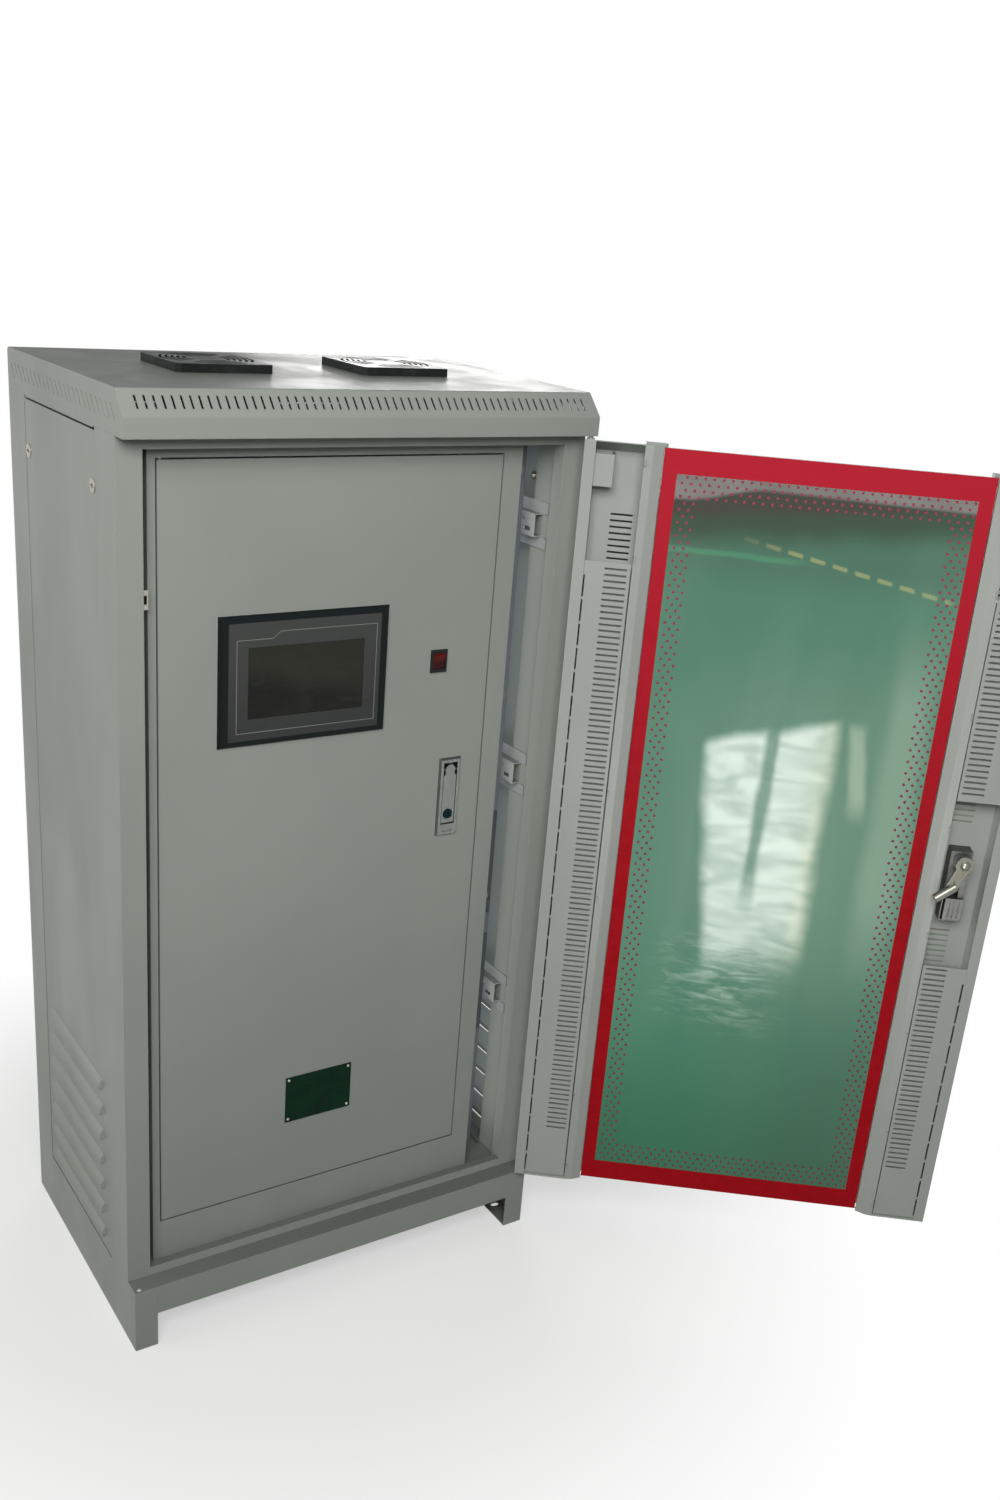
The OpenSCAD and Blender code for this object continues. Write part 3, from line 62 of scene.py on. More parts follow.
class Nodes:
    """A node tree, with short calls for the nodes that are used most."""

    def __init__(self, tree, coordinates):
        self.tree = tree
        self.place = self.add("ShaderNodeTexCoord").outputs[coordinates]

    def add(self, kind, **settings):
        node = self.tree.nodes.new(kind)
        for key, value in settings.items():
            setattr(node, key, value)
        return node

    def feed(self, socket, value):
        if isinstance(value, bpy.types.NodeSocket):
            self.tree.links.new(value, socket)
        else:
            socket.default_value = value

    def paint(self, socket, colour):
        """Feeds a colour, which is a socket or three numbers."""
        self.feed(socket, colour if isinstance(colour, bpy.types.NodeSocket) else (*colour, 1))

    def noise(self, scale, detail=3.0, stretch=(1, 1, 1), warp=0.0, roughness=0.5):
        place = self.place
        if stretch != (1, 1, 1):
            mapping = self.add("ShaderNodeMapping")
            self.feed(mapping.inputs["Vector"], place)
            mapping.inputs["Scale"].default_value = stretch
            place = mapping.outputs["Vector"]
        node = self.add("ShaderNodeTexNoise")
        self.feed(node.inputs["Vector"], place)
        node.inputs["Scale"].default_value = scale
        node.inputs["Detail"].default_value = detail
        node.inputs["Roughness"].default_value = roughness
        node.inputs["Distortion"].default_value = warp
        return node.outputs["Fac"]

    def span(self, value, low, high, start=0.3, end=0.7, smooth=True):
        """value from start..end taken to low..high, and held there outside it"""
        node = self.add("ShaderNodeMapRange",
                        interpolation_type="SMOOTHSTEP" if smooth else "LINEAR")
        names = ("Value", "From Min", "From Max", "To Min", "To Max")
        for name, number in zip(names, (value, start, end, low, high)):
            self.feed(node.inputs[name], number)
        return node.outputs["Result"]

    def rise(self, value, start=0.3, end=0.7):
        return self.span(value, 0.0, 1.0, start, end)

    def fall(self, value, start, end):
        return self.span(value, 1.0, 0.0, start, end)

    def maths(self, operation, a, b=0.0, clamp=False):
        node = self.add("ShaderNodeMath", operation=operation, use_clamp=clamp)
        self.feed(node.inputs[0], a)
        self.feed(node.inputs[1], b)
        return node.outputs["Value"]

    def plus(self, a, b):
        return self.maths("ADD", a, b)

    def minus(self, a, b):
        return self.maths("SUBTRACT", a, b)

    def times(self, first, *others):
        whole = first
        for other in others:
            whole = self.maths("MULTIPLY", whole, other)
        return whole

    def size(self, value):
        return self.maths("ABSOLUTE", value)

    def vector(self, operation, a, b=None):
        node = self.add("ShaderNodeVectorMath", operation=operation)
        self.feed(node.inputs[0], a)
        if b is not None:
            self.feed(node.inputs[1], b)
        return node.outputs["Value"]

    def axis(self, which, vector=None):
        """X, Y or Z of a vector, or of the place"""
        node = self.add("ShaderNodeSeparateXYZ")
        self.feed(node.inputs[0], self.place if vector is None else vector)
        return node.outputs[which]

    def facing(self):
        return self.add("ShaderNodeNewGeometry").outputs["Normal"]

    def blend(self, fac, a, b):
        node = self.add("ShaderNodeMix", data_type="RGBA")
        self.feed(node.inputs["Factor"], fac)
        self.paint(node.inputs["A"], a)
        self.paint(node.inputs["B"], b)
        return node.outputs["Result"]

    def looking(self):
        """1 for the rays that see (camera, glossy, transmission), 0 for those that gather light"""
        path = self.add("ShaderNodeLightPath")
        total = path.outputs["Is Camera Ray"]
        for name in ("Is Glossy Ray", "Is Transmission Ray"):
            total = self.maths("ADD", total, path.outputs[name], clamp=True)
        return total

    def mix(self, fac, a, b):
        node = self.add("ShaderNodeMixShader")
        for socket, value in zip(node.inputs, (fac, a, b)):
            self.feed(socket, value)
        return node.outputs[0]

    def glow(self, colour, strength=1.0):
        node = self.add("ShaderNodeEmission")
        self.paint(node.inputs["Color"], colour)
        self.feed(node.inputs["Strength"], strength)
        return node.outputs[0]

    def clear(self, colour=(1, 1, 1)):
        node = self.add("ShaderNodeBsdfTransparent")
        self.paint(node.inputs["Color"], colour)
        return node.outputs[0]


class Finish(Nodes):
    """A Principled material."""

    def __init__(self, name, **sockets):
        self.mat = bpy.data.materials.new(name)
        self.mat.use_nodes = True
        super().__init__(self.mat.node_tree, "Object")
        self.bsdf = self.tree.nodes["Principled BSDF"]
        self.out = self.tree.nodes["Material Output"]
        self.edge = None
        for socket, value in sockets.items():
            self.bsdf.inputs[socket.replace("_", " ")].default_value = value

    def rounded(self, radius):
        """Softens the edges' shading and keeps a mask of where they are."""
        bevel = self.add("ShaderNodeBevel", samples=4)
        bevel.inputs["Radius"].default_value = radius
        normal = bevel.outputs["Normal"]
        self.edge = self.fall(self.vector("DOT_PRODUCT", normal, self.facing()), 0.86, 0.99)
        return normal

    def bump(self, height, strength, distance, normal=None):
        node = self.add("ShaderNodeBump")
        node.inputs["Strength"].default_value = strength
        node.inputs["Distance"].default_value = distance
        self.feed(node.inputs["Height"], height)
        if normal is not None:
            self.feed(node.inputs["Normal"], normal)
        self.feed(self.bsdf.inputs["Normal"], node.outputs["Normal"])

    def colour(self, value):
        self.feed(self.bsdf.inputs["Base Color"], value)

    def rough(self, value):
        self.feed(self.bsdf.inputs["Roughness"], value)

    def surface(self, shader):
        """Shows another shader in the Principled one's place."""
        self.feed(self.out.inputs["Surface"], shader)


def shade(colour, k):
    return tuple(min(1.0, c * k) for c in colour)


def powder_coat(name, colour, rough=0.42, wear_and_highlight=0.30):
    """Satin powder coat: unevenness, orange peel, rubbed edges with a painted edge highlight, dust
    low down, and painted shade on upward faces.
    """
    f = Finish(name, Specular_IOR_Level=0.18)
    normal = f.rounded(0.0011)
    cloud = f.noise(3.1, 4.0)
    body = f.blend(f.rise(cloud), shade(colour, 0.955), shade(colour, 1.035))
    dust = f.times(f.fall(f.axis("Z"), 0.0, 0.34), f.rise(f.noise(17, 5.0, roughness=0.65)))
    earth = shade((colour[0], colour[1] * 0.97, colour[2] * 0.92), 0.80)
    body = f.blend(f.times(dust, 0.22), body, earth)
    # painted shade: upward faces are painted darker, in patches down to 0.44 of the colour, for
    # less light on the roof and ledges
    level_for_painted_light = f.rise(f.axis("Z", f.facing()), 0.85, 0.97)
    body = f.blend(f.times(level_for_painted_light, f.span(cloud, 0.85, 1.0)), body, shade(colour, 0.44))
    # lighter edges in patches: partly rubbed paint, partly a painted edge highlight
    rub_and_highlight = f.times(f.edge, f.span(f.noise(55, 4.0, roughness=0.7), 0.15, 1.0, 0.38, 0.62))
    f.colour(f.blend(f.times(rub_and_highlight, wear_and_highlight), body, shade(colour, 1.35)))
    smear = f.noise(11, 4.0, (1, 1, 0.35), 0.6)
    f.rough(f.span(smear, rough - 0.05, rough + 0.06))
    f.bump(f.noise(560, 2.0), 0.10, 0.0004, normal)
    return f.mat


def plated(name, colour, rough, tint, stretch=(1, 1, 1), grain=900, cloudy=0.5):
    """Plated or brushed metal: grain along one way, cloudy film, and rubbed edges that are partly a
    painted edge highlight.
    """
    f = Finish(name, Metallic=1.0)
    normal = f.rounded(0.0007)
    film = f.rise(f.noise(46, 4.0, warp=0.8), 0.35, 0.68)
    body = f.blend(f.times(film, cloudy), colour, tint)
    # lighter edges: rubbed metal and a painted edge highlight
    f.colour(f.blend(f.times(f.edge, 0.35), body, shade(colour, 1.25)))
    lines = f.noise(grain, 2.0, stretch)
    f.rough(f.plus(f.span(lines, rough - 0.05, rough + 0.08), f.times(film, 0.06)))
    f.bump(lines, 0.16, 0.0002, normal)
    return f.mat


def moulded(name, colour, rough=0.48, peel=0.22):
    """Moulded plastic with a fine spark-eroded grain and a little dust."""
    f = Finish(name, Specular_IOR_Level=0.10)
    normal = f.rounded(0.0008)
    body = f.blend(f.rise(f.noise(14, 3.0)), shade(colour, 0.86), shade(colour, 1.12))
    dust = f.span(f.noise(38, 5.0, roughness=0.7), 0.0, 0.05, 0.45, 0.75)
    body = f.blend(dust, body, (0.30, 0.30, 0.28))
    # lighter edges: a painted edge highlight
    f.colour(f.blend(f.times(f.edge, 0.10), body, (0.35, 0.35, 0.35)))
    f.rough(f.span(f.noise(24, 3.0), rough - 0.05, rough + 0.08))
    f.bump(f.noise(1500, 2.0), peel, 0.0002, normal)
    return f.mat


def screen_bezel():
    """Black moulding: dark rim, grey plate inside it and a pale line on its raised frame."""
    middle_x, middle_z = -0.06425, 0.878
    plate_half_width, plate_half_height = 0.0990, 0.0715
    raised_face = 0.04385 - HALF_DEPTH
    f = Finish("screen_bezel", Specular_IOR_Level=0.05)
    normal = f.rounded(0.0008)
    u = f.minus(f.size(f.minus(f.axis("X"), middle_x)), plate_half_width)
    v = f.minus(f.size(f.minus(f.axis("Z"), middle_z)), plate_half_height)
    rim = f.rise(f.maths("MAXIMUM", u, v), -0.0006, 0.0006)
    height = f.rise(f.axis("Z"), 0.80, 0.95)
    plate = f.blend(height, (0.052, 0.056, 0.055), (0.074, 0.078, 0.076))
    cloud = f.rise(f.noise(14, 3.0))
    plate = f.blend(f.times(cloud, 0.2), plate, (0.070, 0.074, 0.070))
    body = f.blend(rim, plate, (0.012, 0.017, 0.017))
    printed = f.maths("LESS_THAN", f.axis("Y"), raised_face)
    f.colour(f.blend(printed, body, (0.30, 0.31, 0.30)))
    f.rough(f.span(f.noise(24, 3.0), 0.43, 0.56))
    f.bump(f.noise(1500, 2.0), 0.22, 0.0002, normal)
    return f.mat


def screen_glass():
    """Dark display glass: olive sheen over its upper part, darker low down, with finger smears."""
    f = Finish("screen_glass", Specular_IOR_Level=0.18)
    smear = f.noise(21, 5.0, (1, 1, 2.2), 1.2)
    film = f.rise(smear, 0.40, 0.72)
    slant = f.plus(f.axis("Z"), f.times(f.axis("X"), 0.22))
    slant = f.plus(slant, f.times(f.noise(16, 3.0), 0.02))
    sheen = f.blend(f.rise(slant, 0.846, 0.884), (0.005, 0.006, 0.004), (0.021, 0.022, 0.012))
    f.colour(f.blend(f.times(film, 0.35), sheen, (0.030, 0.031, 0.022)))
    f.rough(f.span(smear, 0.10, 0.24, 0.35, 0.7))
    f.bump(f.noise(120, 1.0), 0.02, 0.0001)
    return f.mat


def door_glass():
    """Toughened glass with wiped streaks, tinted inside its border with a painted reflection of a
    green floor and painted shadow low down. Lamps shine through it.
    """
    middle_z, half_width, half_height = 0.62875, 0.19, 0.507  # of the tinted window
    f = Finish("door_glass", IOR=1.5, Transmission_Weight=1.0, Specular_IOR_Level=0.5)
    way = OPEN.to_3x3() @ Vector((1, 0, 0))
    middle = OPEN @ Vector((0, GLASS_FACE, 0))
    across = f.minus(f.vector("DOT_PRODUCT", f.place, way), middle.dot(way))
    off_middle = f.size(f.minus(f.axis("Z"), middle_z))
    window = f.times(f.maths("LESS_THAN", f.size(across), half_width),
                     f.maths("LESS_THAN", off_middle, half_height))
    # painted reflection of a green floor: greener and darker low down, with painted shadow there
    # that is deeper towards the latch side; greyer near the top, with two dark, nearly flat bands
    # over that, also painted reflection
    streak = f.rise(f.noise(7, 5.0, (1, 1, 0.22), 0.9))
    tint = f.blend(streak, (0.056, 0.190, 0.120), (0.082, 0.220, 0.143))
    low = f.blend(f.rise(across, -0.16, 0.16), (0.002, 0.072, 0.028), (0.003, 0.150, 0.064))
    tint = f.blend(f.span(f.axis("Z"), 0.90, 0.0, 0.1, 0.62), tint, low)
    tint = f.blend(f.span(f.axis("Z"), 0.0, 0.30, 0.98, 1.04), tint, (0.040, 0.070, 0.042))
    level_for_painted_light = f.plus(f.axis("Z"), f.times(across, 0.1))
    level_for_painted_light = f.plus(level_for_painted_light, f.times(f.noise(14, 4.0, (1, 1, 0.6)), 0.016))
    tint = f.blend(f.span(level_for_painted_light, 0.0, 0.80, 1.050, 1.092), tint, (0.018, 0.042, 0.014))
    tint = f.blend(f.span(level_for_painted_light, 0.0, 0.90, 1.094, 1.112), tint, (0.040, 0.034, 0.024))
    tint = f.blend(window, (0.80, 0.90, 0.84), tint)
    f.colour(tint)
    f.rough(f.span(f.noise(16, 5.0, (1, 1, 0.3), 1.4), 0.0, 0.035, 0.42, 0.75))
    f.bump(f.noise(3, 1.0, (1, 1, 0.5)), 0.015, 0.004)
    shadow = f.add("ShaderNodeLightPath").outputs["Is Shadow Ray"]
    f.surface(f.mix(shadow, f.bsdf.outputs[0], f.clear(tint)))
    return f.mat


def red_print(name="red_print", colour=(0.455, 0.007, 0.014)):
    """Ceramic ink fired on the glass: even, glossy, a little mottled, and painted paler high up,
    painted light where more light falls on the door.
    """
    f = Finish(name, Specular_IOR_Level=0.04)
    mottle = f.rise(f.noise(60, 4.0, roughness=0.6))
    body = f.blend(mottle, shade(colour, 0.93), shade(colour, 1.06))
    pale = (colour[0] * 1.20, colour[1] + 0.014, colour[2] + 0.026)
    # painted light: the ink is painted paler towards the top of the door
    f.colour(f.blend(f.rise(f.axis("Z"), 0.55, 1.10), body, pale))
    f.rough(f.span(f.noise(30, 4.0), 0.22, 0.36))
    f.bump(f.noise(700, 2.0), 0.05, 0.0002)
    return f.mat


def enamel():
    """Dark green plate enamel with a fine brushed sheen."""
    f = Finish("green_enamel", Specular_IOR_Level=0.06)
    normal = f.rounded(0.0005)
    brush = f.noise(1200, 2.0, (0.05, 1, 1))
    cloud = f.rise(f.noise(34, 4.0, warp=0.5))
    body = f.blend(cloud, (0.0006, 0.017, 0.006), (0.0012, 0.029, 0.011))
    # pale edges: a painted edge highlight
    f.colour(f.blend(f.times(f.edge, 0.5), body, (0.25, 0.30, 0.26)))
    f.rough(f.span(brush, 0.24, 0.40))
    f.bump(brush, 0.10, 0.0001, normal)
    return f.mat


def rocker_red():
    """Translucent red moulding, its upper half painted brighter: a painted highlight where that
    half tilts out.
    """
    f = Finish("rocker_red", Specular_IOR_Level=0.12)
    normal = f.rounded(0.0006)
    # painted highlight: the upper half is painted a brighter red
    upper_painted_highlight = f.rise(f.axis("Z"), 0.8755, 0.8835)
    body = f.blend(upper_painted_highlight, (0.013, 0.002, 0.002), (0.15, 0.004, 0.003))
    f.colour(f.blend(f.span(f.noise(240, 3.0), 0.0, 0.25), body, (0.20, 0.008, 0.008)))
    f.rough(f.span(f.noise(90, 3.0), 0.20, 0.34))
    f.bump(f.noise(900, 2.0), 0.06, 0.0002, normal)
    return f.mat


def fleece():
    """Pale filter fleece."""
    f = Finish("filter_fleece", Specular_IOR_Level=0.05, Roughness=0.95)
    fibres = f.noise(900, 4.0, warp=1.5, roughness=0.7)
    f.colour(f.blend(fibres, (0.26, 0.28, 0.26), (0.42, 0.44, 0.42)))
    f.bump(fibres, 0.6, 0.0008)
    return f.mat


def slot_fill(name, dark, pale):
    """Thin fill for vent slots with a fine woven grain: its colour is painted shade in the dark
    slots and painted light in the pale ones.
    """
    f = Finish(name, Specular_IOR_Level=0.08)
    weave = f.noise(2600, 1.0)
    f.colour(f.blend(weave, dark, pale))
    f.rough(f.span(weave, 0.5, 0.8))
    return f.mat


# Finishes of the CAD nodes: first by material slot, then the nodes with one of their own

finishes = {
    "cabinet_paint": powder_coat("cabinet_paint", (0.340, 0.366, 0.334)),
    # the door's paint is the cabinet's grey made about a quarter lighter: painted light for the
    # door's inner face
    "door_paint": powder_coat("door_paint", (0.430, 0.455, 0.428), rough=0.40),
    "inner_steel": powder_coat("inner_steel", (0.470, 0.510, 0.540), rough=0.38, wear_and_highlight=0.4),
    "module_paint": powder_coat("module_paint", (0.075, 0.085, 0.095), rough=0.5, wear_and_highlight=0.15),
    "black_metal": powder_coat("black_metal", (0.020, 0.020, 0.021), rough=0.38, wear_and_highlight=0.10),
    "zinc": plated("zinc", (0.40, 0.39, 0.35), 0.26, (0.33, 0.29, 0.20), cloudy=0.60),
    "satin_chrome": plated("satin_chrome", (0.166, 0.178, 0.171), 0.30, (0.105, 0.114, 0.112),
                           stretch=(1, 1, 0.04), grain=1500),
    "teal_button": plated("teal_button", (0.004, 0.018, 0.023), 0.40, (0.003, 0.012, 0.016),
                          grain=1800),
    "black_plastic": moulded("black_plastic", (0.014, 0.017, 0.017)),
    "red_plastic": rocker_red(),
    "screen": screen_glass(),
    "clear_glass": door_glass(),
    "red_print": red_print(),
    "green_enamel": enamel(),
}
for row in frame["record"]["subparts"]:
    slots = nodes[row["node"]].data.materials
    slots.clear()
    slots.append(finishes[row["material_slot"]])

guard_black = moulded("guard_black", (0.016, 0.018, 0.018), rough=0.36, peel=0.10)
own_finishes = {
    "screen_bezel": screen_bezel(),
    "left_catch": finishes["zinc"],
    "left_fan_guard": guard_black,
    "right_fan_guard": guard_black,
    "depth_braces": powder_coat("brace_steel", (0.375, 0.395, 0.385), rough=0.38, wear_and_highlight=0.4),
    # uprights painted darker than the other inner steel: painted shade for the dark strip beside
    # the right post
    "rack_uprights": powder_coat("upright_steel_painted_shade", (0.170, 0.190, 0.215), rough=0.38, wear_and_highlight=0.4),
    "swing_handle_body": plated("cast_zinc", (0.135, 0.140, 0.135), 0.42, (0.085, 0.088, 0.086)),
    "lock_lever": plated("lever_steel", (0.215, 0.220, 0.190), 0.22, (0.130, 0.132, 0.105)),
}
for name, finish in own_finishes.items():
    nodes[name].data.materials[0] = finish


# Pieces that ride the glazed door, drawn on the shut door

def door_piece(name, bm, material):
    """Swings a mesh from the shut door to the open one, as a new object."""
    bm.transform(OPEN)
    mesh = bpy.data.meshes.new(name)
    bm.to_mesh(mesh)
    bm.free()
    mesh.materials.append(material)
    piece = bpy.data.objects.new(name, mesh)
    scene.collection.objects.link(piece)
    return piece


def printed_dots():
    """Dots printed round the window on the glass's inner face, in staggered rows."""
    border_low, border_high = (corner.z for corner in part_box("glass_border"))
    half_width, low, high = 0.18325, border_low + 0.030, border_high - 0.030
    step_x, step_z, radius, thick = 0.0113, 0.008, 0.00192, 0.00022
    side_band, end_rows = 2.6 * step_x, 3
    rows = int((high - low) / step_z) - 1
    per_row = int(2 * half_width / step_x)
    lying = Matrix.Rotation(math.pi / 2, 4, "X")
    bm = bmesh.new()
    for j in range(rows + 1):
        z = low + step_z * 0.7 + j * step_z
        for i in range(per_row + 1):
            x = -half_width + step_x * 0.30 + i * step_x + (j % 2) * step_x / 2
            if x > half_width - radius * 1.2:
                continue
            from_side = min(x + half_width, half_width - x)
            if from_side > side_band and end_rows < j < rows - end_rows:
                continue
            place = Matrix.Translation((x, GLASS_FACE + thick / 2, z)) @ lying
            bmesh.ops.create_cone(bm, cap_ends=True, segments=12, radius1=radius, radius2=radius,
                                  depth=thick, matrix=place)
    dots = door_piece("printed_dots", bm, red_print("dot_print", (0.30, 0.060, 0.090)))
    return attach(dots, "glazed_door")


def shut_boxes(name, boxes, material):
    """Boxes given by two corners on the shut door, as one mesh that rides it."""
    bm = bmesh.new()
    for low, high in boxes:
        size = Vector(high) - Vector(low)
        middle = Matrix.Translation((Vector(low) + Vector(high)) / 2)
        bmesh.ops.create_cube(bm, size=1, matrix=middle @ Matrix.Diagonal((*size, 1)))
    bmesh.ops.recalc_face_normals(bm, faces=bm.faces)
    piece = door_piece(name, bm, material)
    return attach(piece, "glazed_door")


printed_dots()

# Filter mats behind the slotted covers, and thin fills in the open slots over them: the dark fills
# are painted shade, the pale ones at the ends of the lock bay painted light. A side is 1 for the
# hinge stile and -1 for the latch stile, and reach is how far in from the stile's outer edge.

STILE_EDGE = 0.29925
SLOT_PITCH, FIRST_SLOT, LAST_SLOT = 0.008, 0.1815, 1.076
COVER_SPANS = {1: [(0.106, 1.006)], -1: [(0.106, 0.5005), (0.7525, 1.006)]}
PALE_SPANS = ((0.5005, 0.543), (0.703, 0.7525))  # the two ends of the latch stile's lock bay
MAT_REACH, MAT_DEPTH = (0.020, 0.072), (0.002, 0.017)
SLOT_FILL_REACH, SLOT_FILL_DEPTH, SLOT_FILL_HALF_HEIGHT = (0.04005, 0.06795), (-0.0066, -0.0062), 0.00115


def stile_box(side, reach, depth, low, high):
    x_low, x_high = sorted(side * (STILE_EDGE - r) for r in reach)
    return (x_low, depth[0] - HALF_DEPTH, low), (x_high, depth[1] - HALF_DEPTH, high)


mats, painted_shade_slots, painted_light_slots = [], [], []
for side, spans in COVER_SPANS.items():
    for low, high in spans:
        mats.append(stile_box(side, MAT_REACH, MAT_DEPTH, low, high))
    z = FIRST_SLOT
    while z < LAST_SLOT:
        slot = stile_box(side, SLOT_FILL_REACH, SLOT_FILL_DEPTH,
                         z - SLOT_FILL_HALF_HEIGHT, z + SLOT_FILL_HALF_HEIGHT)
        if z > spans[-1][1]:
            painted_shade_slots.append(slot)
        elif side < 0 and any(low < z < high for low, high in PALE_SPANS):
            painted_light_slots.append(slot)
        z += SLOT_PITCH
shut_boxes("filter_mats", mats, fleece())
# dark fills: painted shade in the slots above the covers
shut_boxes("vent_painted_shade", painted_shade_slots,
           slot_fill("vent_painted_shade", (0.010, 0.013, 0.011), (0.035, 0.042, 0.036)))
# pale fills: painted light in the slots at the ends of the lock bay
shut_boxes("vent_painted_light", painted_light_slots,
           slot_fill("vent_painted_light", (0.23, 0.29, 0.23), (0.33, 0.40, 0.33)))


# Floor, world and lamps

def flat_object(name, corners, material):
    """One four-sided face."""
    mesh = bpy.data.meshes.new(name)
    mesh.from_pydata(corners, [], [(0, 1, 2, 3)])
    mesh.materials.append(material)
    obj = bpy.data.objects.new(name, mesh)
    scene.collection.objects.link(obj)
    return obj


def floor():
    """Pale floor that keeps the object's shadow near it and turns plain white further off."""
    reach, drop = 30.0, -0.0004
    white_from, white_to = 0.36, 0.95
    f = Finish("floor", Specular_IOR_Level=0.0, Roughness=1.0)
    pale = f.blend(f.rise(f.noise(1.4, 4.0)), (0.84, 0.84, 0.835), (0.87, 0.87, 0.865))
    # a dark floor to the rays that gather light, so that it doesn't brighten the cabinet from below
    gathering = f.add("ShaderNodeLightPath").outputs["Is Diffuse Ray"]
    f.colour(f.blend(gathering, pale, (0.10, 0.12, 0.11)))
    far = f.span(f.vector("LENGTH", f.place), 0.50, 1.0, white_from, white_to)
    f.surface(f.mix(f.times(far, f.looking()), f.bsdf.outputs[0], f.glow((1, 1, 1))))
    corners = [(-reach, -reach, drop), (reach, -reach, drop),
               (reach, reach, drop), (-reach, reach, drop)]
    plane = flat_object("floor", corners, f.mat)


def studio_world():
    """Soft light, weaker from above, with plain white behind everything that is seen."""
    world = bpy.data.worlds.new("studio")
    scene.world = world
    world.use_nodes = True
    w = Nodes(world.node_tree, "Generated")
    soft = w.tree.nodes["Background"]
    w.paint(soft.inputs["Color"], (0.97, 0.99, 1.0))
    w.feed(soft.inputs["Strength"], w.span(w.axis("Z"), 0.17, 0.05, 0.0, 1.0, smooth=False))
    white = w.add("ShaderNodeBackground")
    w.paint(white.inputs["Color"], (1, 1, 1))
    shader = w.mix(w.looking(), soft.outputs[0], white.outputs[0])
    w.feed(w.tree.nodes["World Output"].inputs["Surface"], shader)


def lamp(name, place, aim, size, power, colour=(1, 1, 1)):
    """A soft rectangular lamp at place, turned towards aim. size is its width and height."""
    light = bpy.data.lights.new(name, "AREA")
    light.shape, light.size, light.size_y = "RECTANGLE", size[0], size[1]
    light.energy, light.color = power, colour
    obj = bpy.data.objects.new(name, light)
    scene.collection.objects.link(obj)
    obj.location = place
    obj.rotation_euler = (Vector(aim) - Vector(place)).to_track_quat("-Z", "Y").to_euler()
    obj.visible_camera = False


floor()
studio_world()
lamp("key", (-1.15, -2.05, 2.25), (0.1, -0.1, 0.85), (1.7, 1.2), 56, (1.0, 0.995, 0.98))
lamp("side", (-3.0, 0.3, 1.9), (-0.3, 0.0, 0.8), (1.8, 1.6), 24, (1.0, 0.97, 0.92))
lamp("rear", (1.1, 3.0, 0.90), (0.1, 0.2, 0.6), (2.0, 1.2), 26, (0.98, 0.99, 1.0))
# seen in the roof as its bright patch
lamp("window", (1.74, 2.62, 1.50), (0.05, 0.0, 1.21), (1.15, 0.45), 17, (1.0, 1.0, 0.98))
# two weak strips inside the cabinet, along the gap beside the right post and its inner wall
GAP_Y, WALL_Y, STRIP_Z = 0.066 - HALF_DEPTH, 0.155 - HALF_DEPTH, 0.63
lamp("gap", (0.236, GAP_Y, STRIP_Z), (0.278, GAP_Y, STRIP_Z), (0.02, 1.0), 0.08)
lamp("wall", (0.2680, WALL_Y, STRIP_Z), (0.298, WALL_Y, STRIP_Z), (0.10, 1.0), 0.10,
     (0.82, 0.92, 1.0))


# Things round the cabinet that show only as reflections

def only_reflected(obj):
    """Hides obj from all but glossy rays."""
    for kind in ("camera", "diffuse", "transmission", "shadow", "volume_scatter"):
        setattr(obj, "visible_" + kind, False)


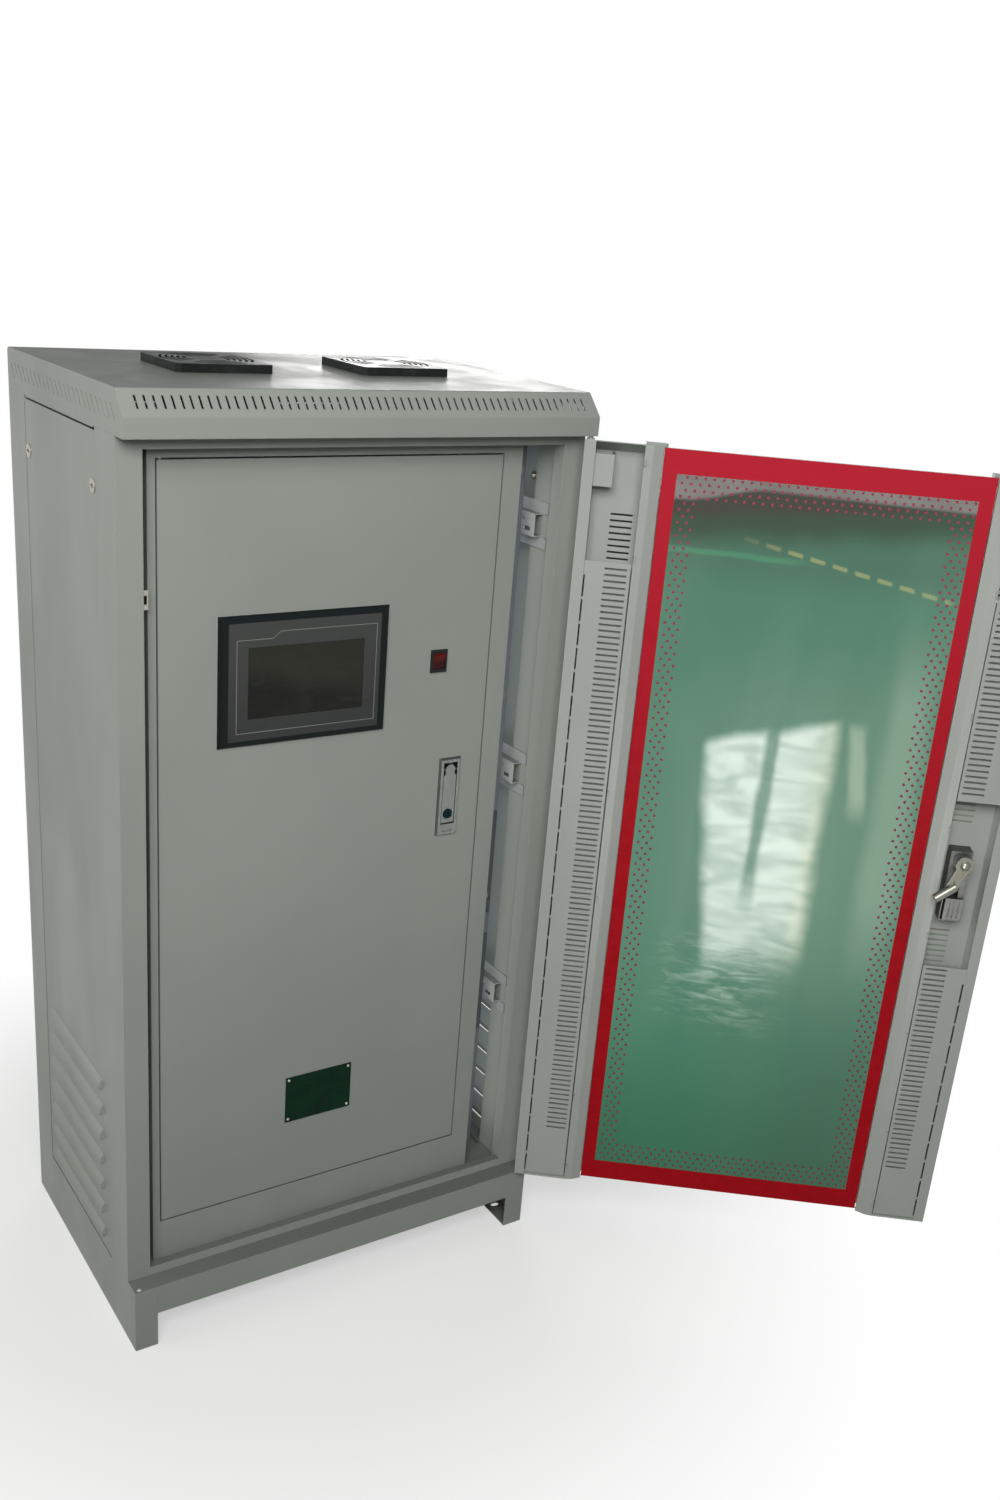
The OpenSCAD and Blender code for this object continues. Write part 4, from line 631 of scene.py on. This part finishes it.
def window_card():
    """Glowing card for the door's glass: a far window, its hall's ceiling, marks and floor scuffs.

    On the card, X runs along it to the right as the glass shows it, and Y is up.
    """
    place, strength = Vector((0.2325, -0.8645, 0.4594)), 15.0
    along, up = Vector((0.8631, -0.5051, 0.0)), Vector((0, 0, 1))
    f = Finish("window_card")

    def ragged(value, scale, stretch, reach):
        """value, with its edges made uneven"""
        return f.plus(value, f.times(f.minus(f.noise(scale, 4.0, stretch), 0.5), reach))

    def off_line(value, other, slope, start):
        """value - (start + slope * other)"""
        return f.minus(f.minus(value, start), f.times(other, slope))

    def near(value, middle, full, none):
        """1 within full of middle, 0 beyond none"""
        return f.fall(f.size(f.minus(value, middle)), full, none)

    def near_line(value, other, slope, start, full, none):
        return f.fall(f.size(off_line(value, other, slope, start)), full, none)

    x = ragged(f.axis("X"), 17, (1, 0.45, 1), 0.022)
    y = ragged(f.axis("Y"), 15, (1, 0.6, 1), 0.030)

    # the bright opening, with its frame as a darker wavy streak
    opening = f.times(f.rise(off_line(x, y, -0.109, -0.1203), -0.008, 0.020),
                      f.fall(x, 0.066, 0.100),
                      f.fall(off_line(y, x, 0.29, 0.181), -0.016, 0.014),
                      f.rise(off_line(y, x, 0.19, -0.263), -0.040, 0.075))
    bar = f.times(near_line(x, y, 0.02, -0.0215, 0.004, 0.017), f.rise(y, -0.20, -0.06))
    wiped = f.span(f.noise(26, 5.0, (0.35, 1, 1), 0.8), 0.55, 1.0, 0.32, 0.66)
    glare = f.times(opening, f.minus(1.0, f.times(bar, 0.84)),
                    f.span(y, 0.80, 1.0, -0.22, -0.06), wiped)

    # a narrow pane, the pale wall beside it, a scuffed patch on the floor below and haze over all
    pane = f.times(near_line(x, y, -0.106, 0.141, 0.006, 0.022),
                   f.rise(y, 0.02, 0.08), f.fall(y, 0.19, 0.22))
    wall = f.times(f.rise(x, 0.145, 0.185), f.fall(x, 0.205, 0.245),
                   f.rise(y, -0.33, -0.05), f.fall(y, 0.22, 0.42))
    scuffs = f.rise(f.noise(30, 6.0, (0.35, 1.6, 1), 1.0, 0.7), 0.44, 0.66)
    patch = f.times(near(x, -0.05, 0.02, 0.15),
                    f.rise(y, -0.43, -0.33), f.fall(y, -0.26, -0.20), scuffs)
    haze = f.times(near(x, 0.03, 0.08, 0.27), near(y, 0.0, 0.10, 0.42))

    # over it a pale ceiling, a green streak and a row of yellow marks
    above = f.minus(f.axis("Y"), f.span(f.axis("X"), 0.546, 0.574, -0.22, -0.08))
    ceiling = f.times(f.rise(above, -0.004, 0.004),
                      f.span(f.noise(20, 3.0, (0.5, 1, 1)), 0.75, 1.0))
    streak = f.times(near(ragged(f.axis("Y"), 9, (1, 1, 1), 0.012), 0.465, 0.002, 0.007),
                     f.fall(x, -0.06, 0.02))
    beat = f.maths("SINE", f.times(f.axis("X"), 172.0))
    marks = f.times(near_line(f.axis("Y"), f.axis("X"), -0.189, 0.473, 0.0018, 0.0050),
                    f.rise(beat, -0.70, -0.20),
                    f.rise(f.axis("X"), -0.14, -0.02), f.fall(f.axis("X"), 0.215, 0.235))

    total = 0.0
    for part, share in ((pane, 0.28), (wall, 0.16), (patch, 0.30), (haze, 0.085), (glare, 1.0),
                        (ceiling, 0.29), (streak, 0.13), (marks, 0.32)):
        total = f.plus(total, f.times(part, share))
    hue = f.blend(f.rise(x, 0.035, 0.085), (1.0, 0.985, 0.95), (1.0, 0.93, 0.76))
    hue = f.blend(f.rise(ceiling, 0.1, 0.3), hue, (1.0, 0.95, 0.94))
    hue = f.blend(f.rise(streak, 0.05, 0.2), hue, (0.10, 1.0, 0.40))
    hue = f.blend(f.rise(marks, 0.05, 0.2), hue, (1.0, 0.74, 0.16))
    joined = f.add("ShaderNodeAddShader")
    f.feed(joined.inputs[0], f.glow(hue, f.times(total, strength)))
    f.feed(joined.inputs[1], f.clear())
    f.surface(joined.outputs[0])

    corners = [(-0.27, -0.43, 0), (0.28, -0.43, 0), (0.28, 0.62, 0), (-0.27, 0.62, 0)]
    card = flat_object("window_card", corners, f.mat)
    turn = Matrix((along, up, along.cross(up))).transposed()
    card.matrix_world = Matrix.Translation(place) @ turn.to_4x4()
    only_reflected(card)


def dark_flag():
    """Dark hall behind the cabinet on the left, for the dark part of the roof."""
    left, right, y, low, high = -0.4, 1.3, 2.0, 0.9, 3.4
    f = Finish("dark_flag")
    mask = f.times(f.fall(f.axis("X"), 0.76, 1.00), f.rise(f.axis("X"), -0.4, 0.0))
    f.surface(f.mix(f.times(mask, 0.72), f.clear(), f.glow((0.05, 0.055, 0.05))))
    corners = [(left, y, low), (right, y, low), (right, y, high), (left, y, high)]
    flag = flat_object("dark_flag", corners, f.mat)
    only_reflected(flag)


def white_sheet():
    """Sheet as bright as the backdrop, which hides the window card from the cabinet's own front."""
    left, right, y, low, high = -0.36, 0.16, -0.35, 0.05, 1.15
    f = Finish("white_sheet")
    f.surface(f.glow((1, 1, 1)))
    corners = [(left, y, low), (right, y, low), (right, y, high), (left, y, high)]
    sheet = flat_object("white_sheet", corners, f.mat)
    only_reflected(sheet)


window_card()
dark_flag()
white_sheet()


# Camera, fitted to the photograph's edges of the cabinet

IMAGE_WIDTH, IMAGE_HEIGHT = 1000, 1500
FOCAL_PX, CENTRE_PX = 1481.86, (499.45, 803.08)
SENSOR_MM = 36.0  # across the image's longer side, which is its height
EYE = Vector((-0.82304, -1.48657 - HALF_DEPTH, 1.39785))
RIGHT = Vector((0.838327, -0.539603, 0.077690))
DOWN = Vector((-0.136502, -0.345730, -0.928352))
AHEAD = Vector((0.527802, 0.767658, -0.363492))

lens = bpy.data.cameras.new("camera")
lens.sensor_width, lens.sensor_fit = SENSOR_MM, "AUTO"
lens.lens = FOCAL_PX * SENSOR_MM / IMAGE_HEIGHT
lens.shift_x = (IMAGE_WIDTH / 2 - CENTRE_PX[0]) / IMAGE_HEIGHT
lens.shift_y = (CENTRE_PX[1] - IMAGE_HEIGHT / 2) / IMAGE_HEIGHT
lens.clip_start, lens.clip_end = 0.05, 200
camera = bpy.data.objects.new("camera", lens)
scene.collection.objects.link(camera)
turn = Matrix((RIGHT, -DOWN, -AHEAD)).transposed()
camera.matrix_world = Matrix.Translation(EYE) @ turn.to_4x4()
scene.camera = camera

scene.view_settings.view_transform = "Standard"
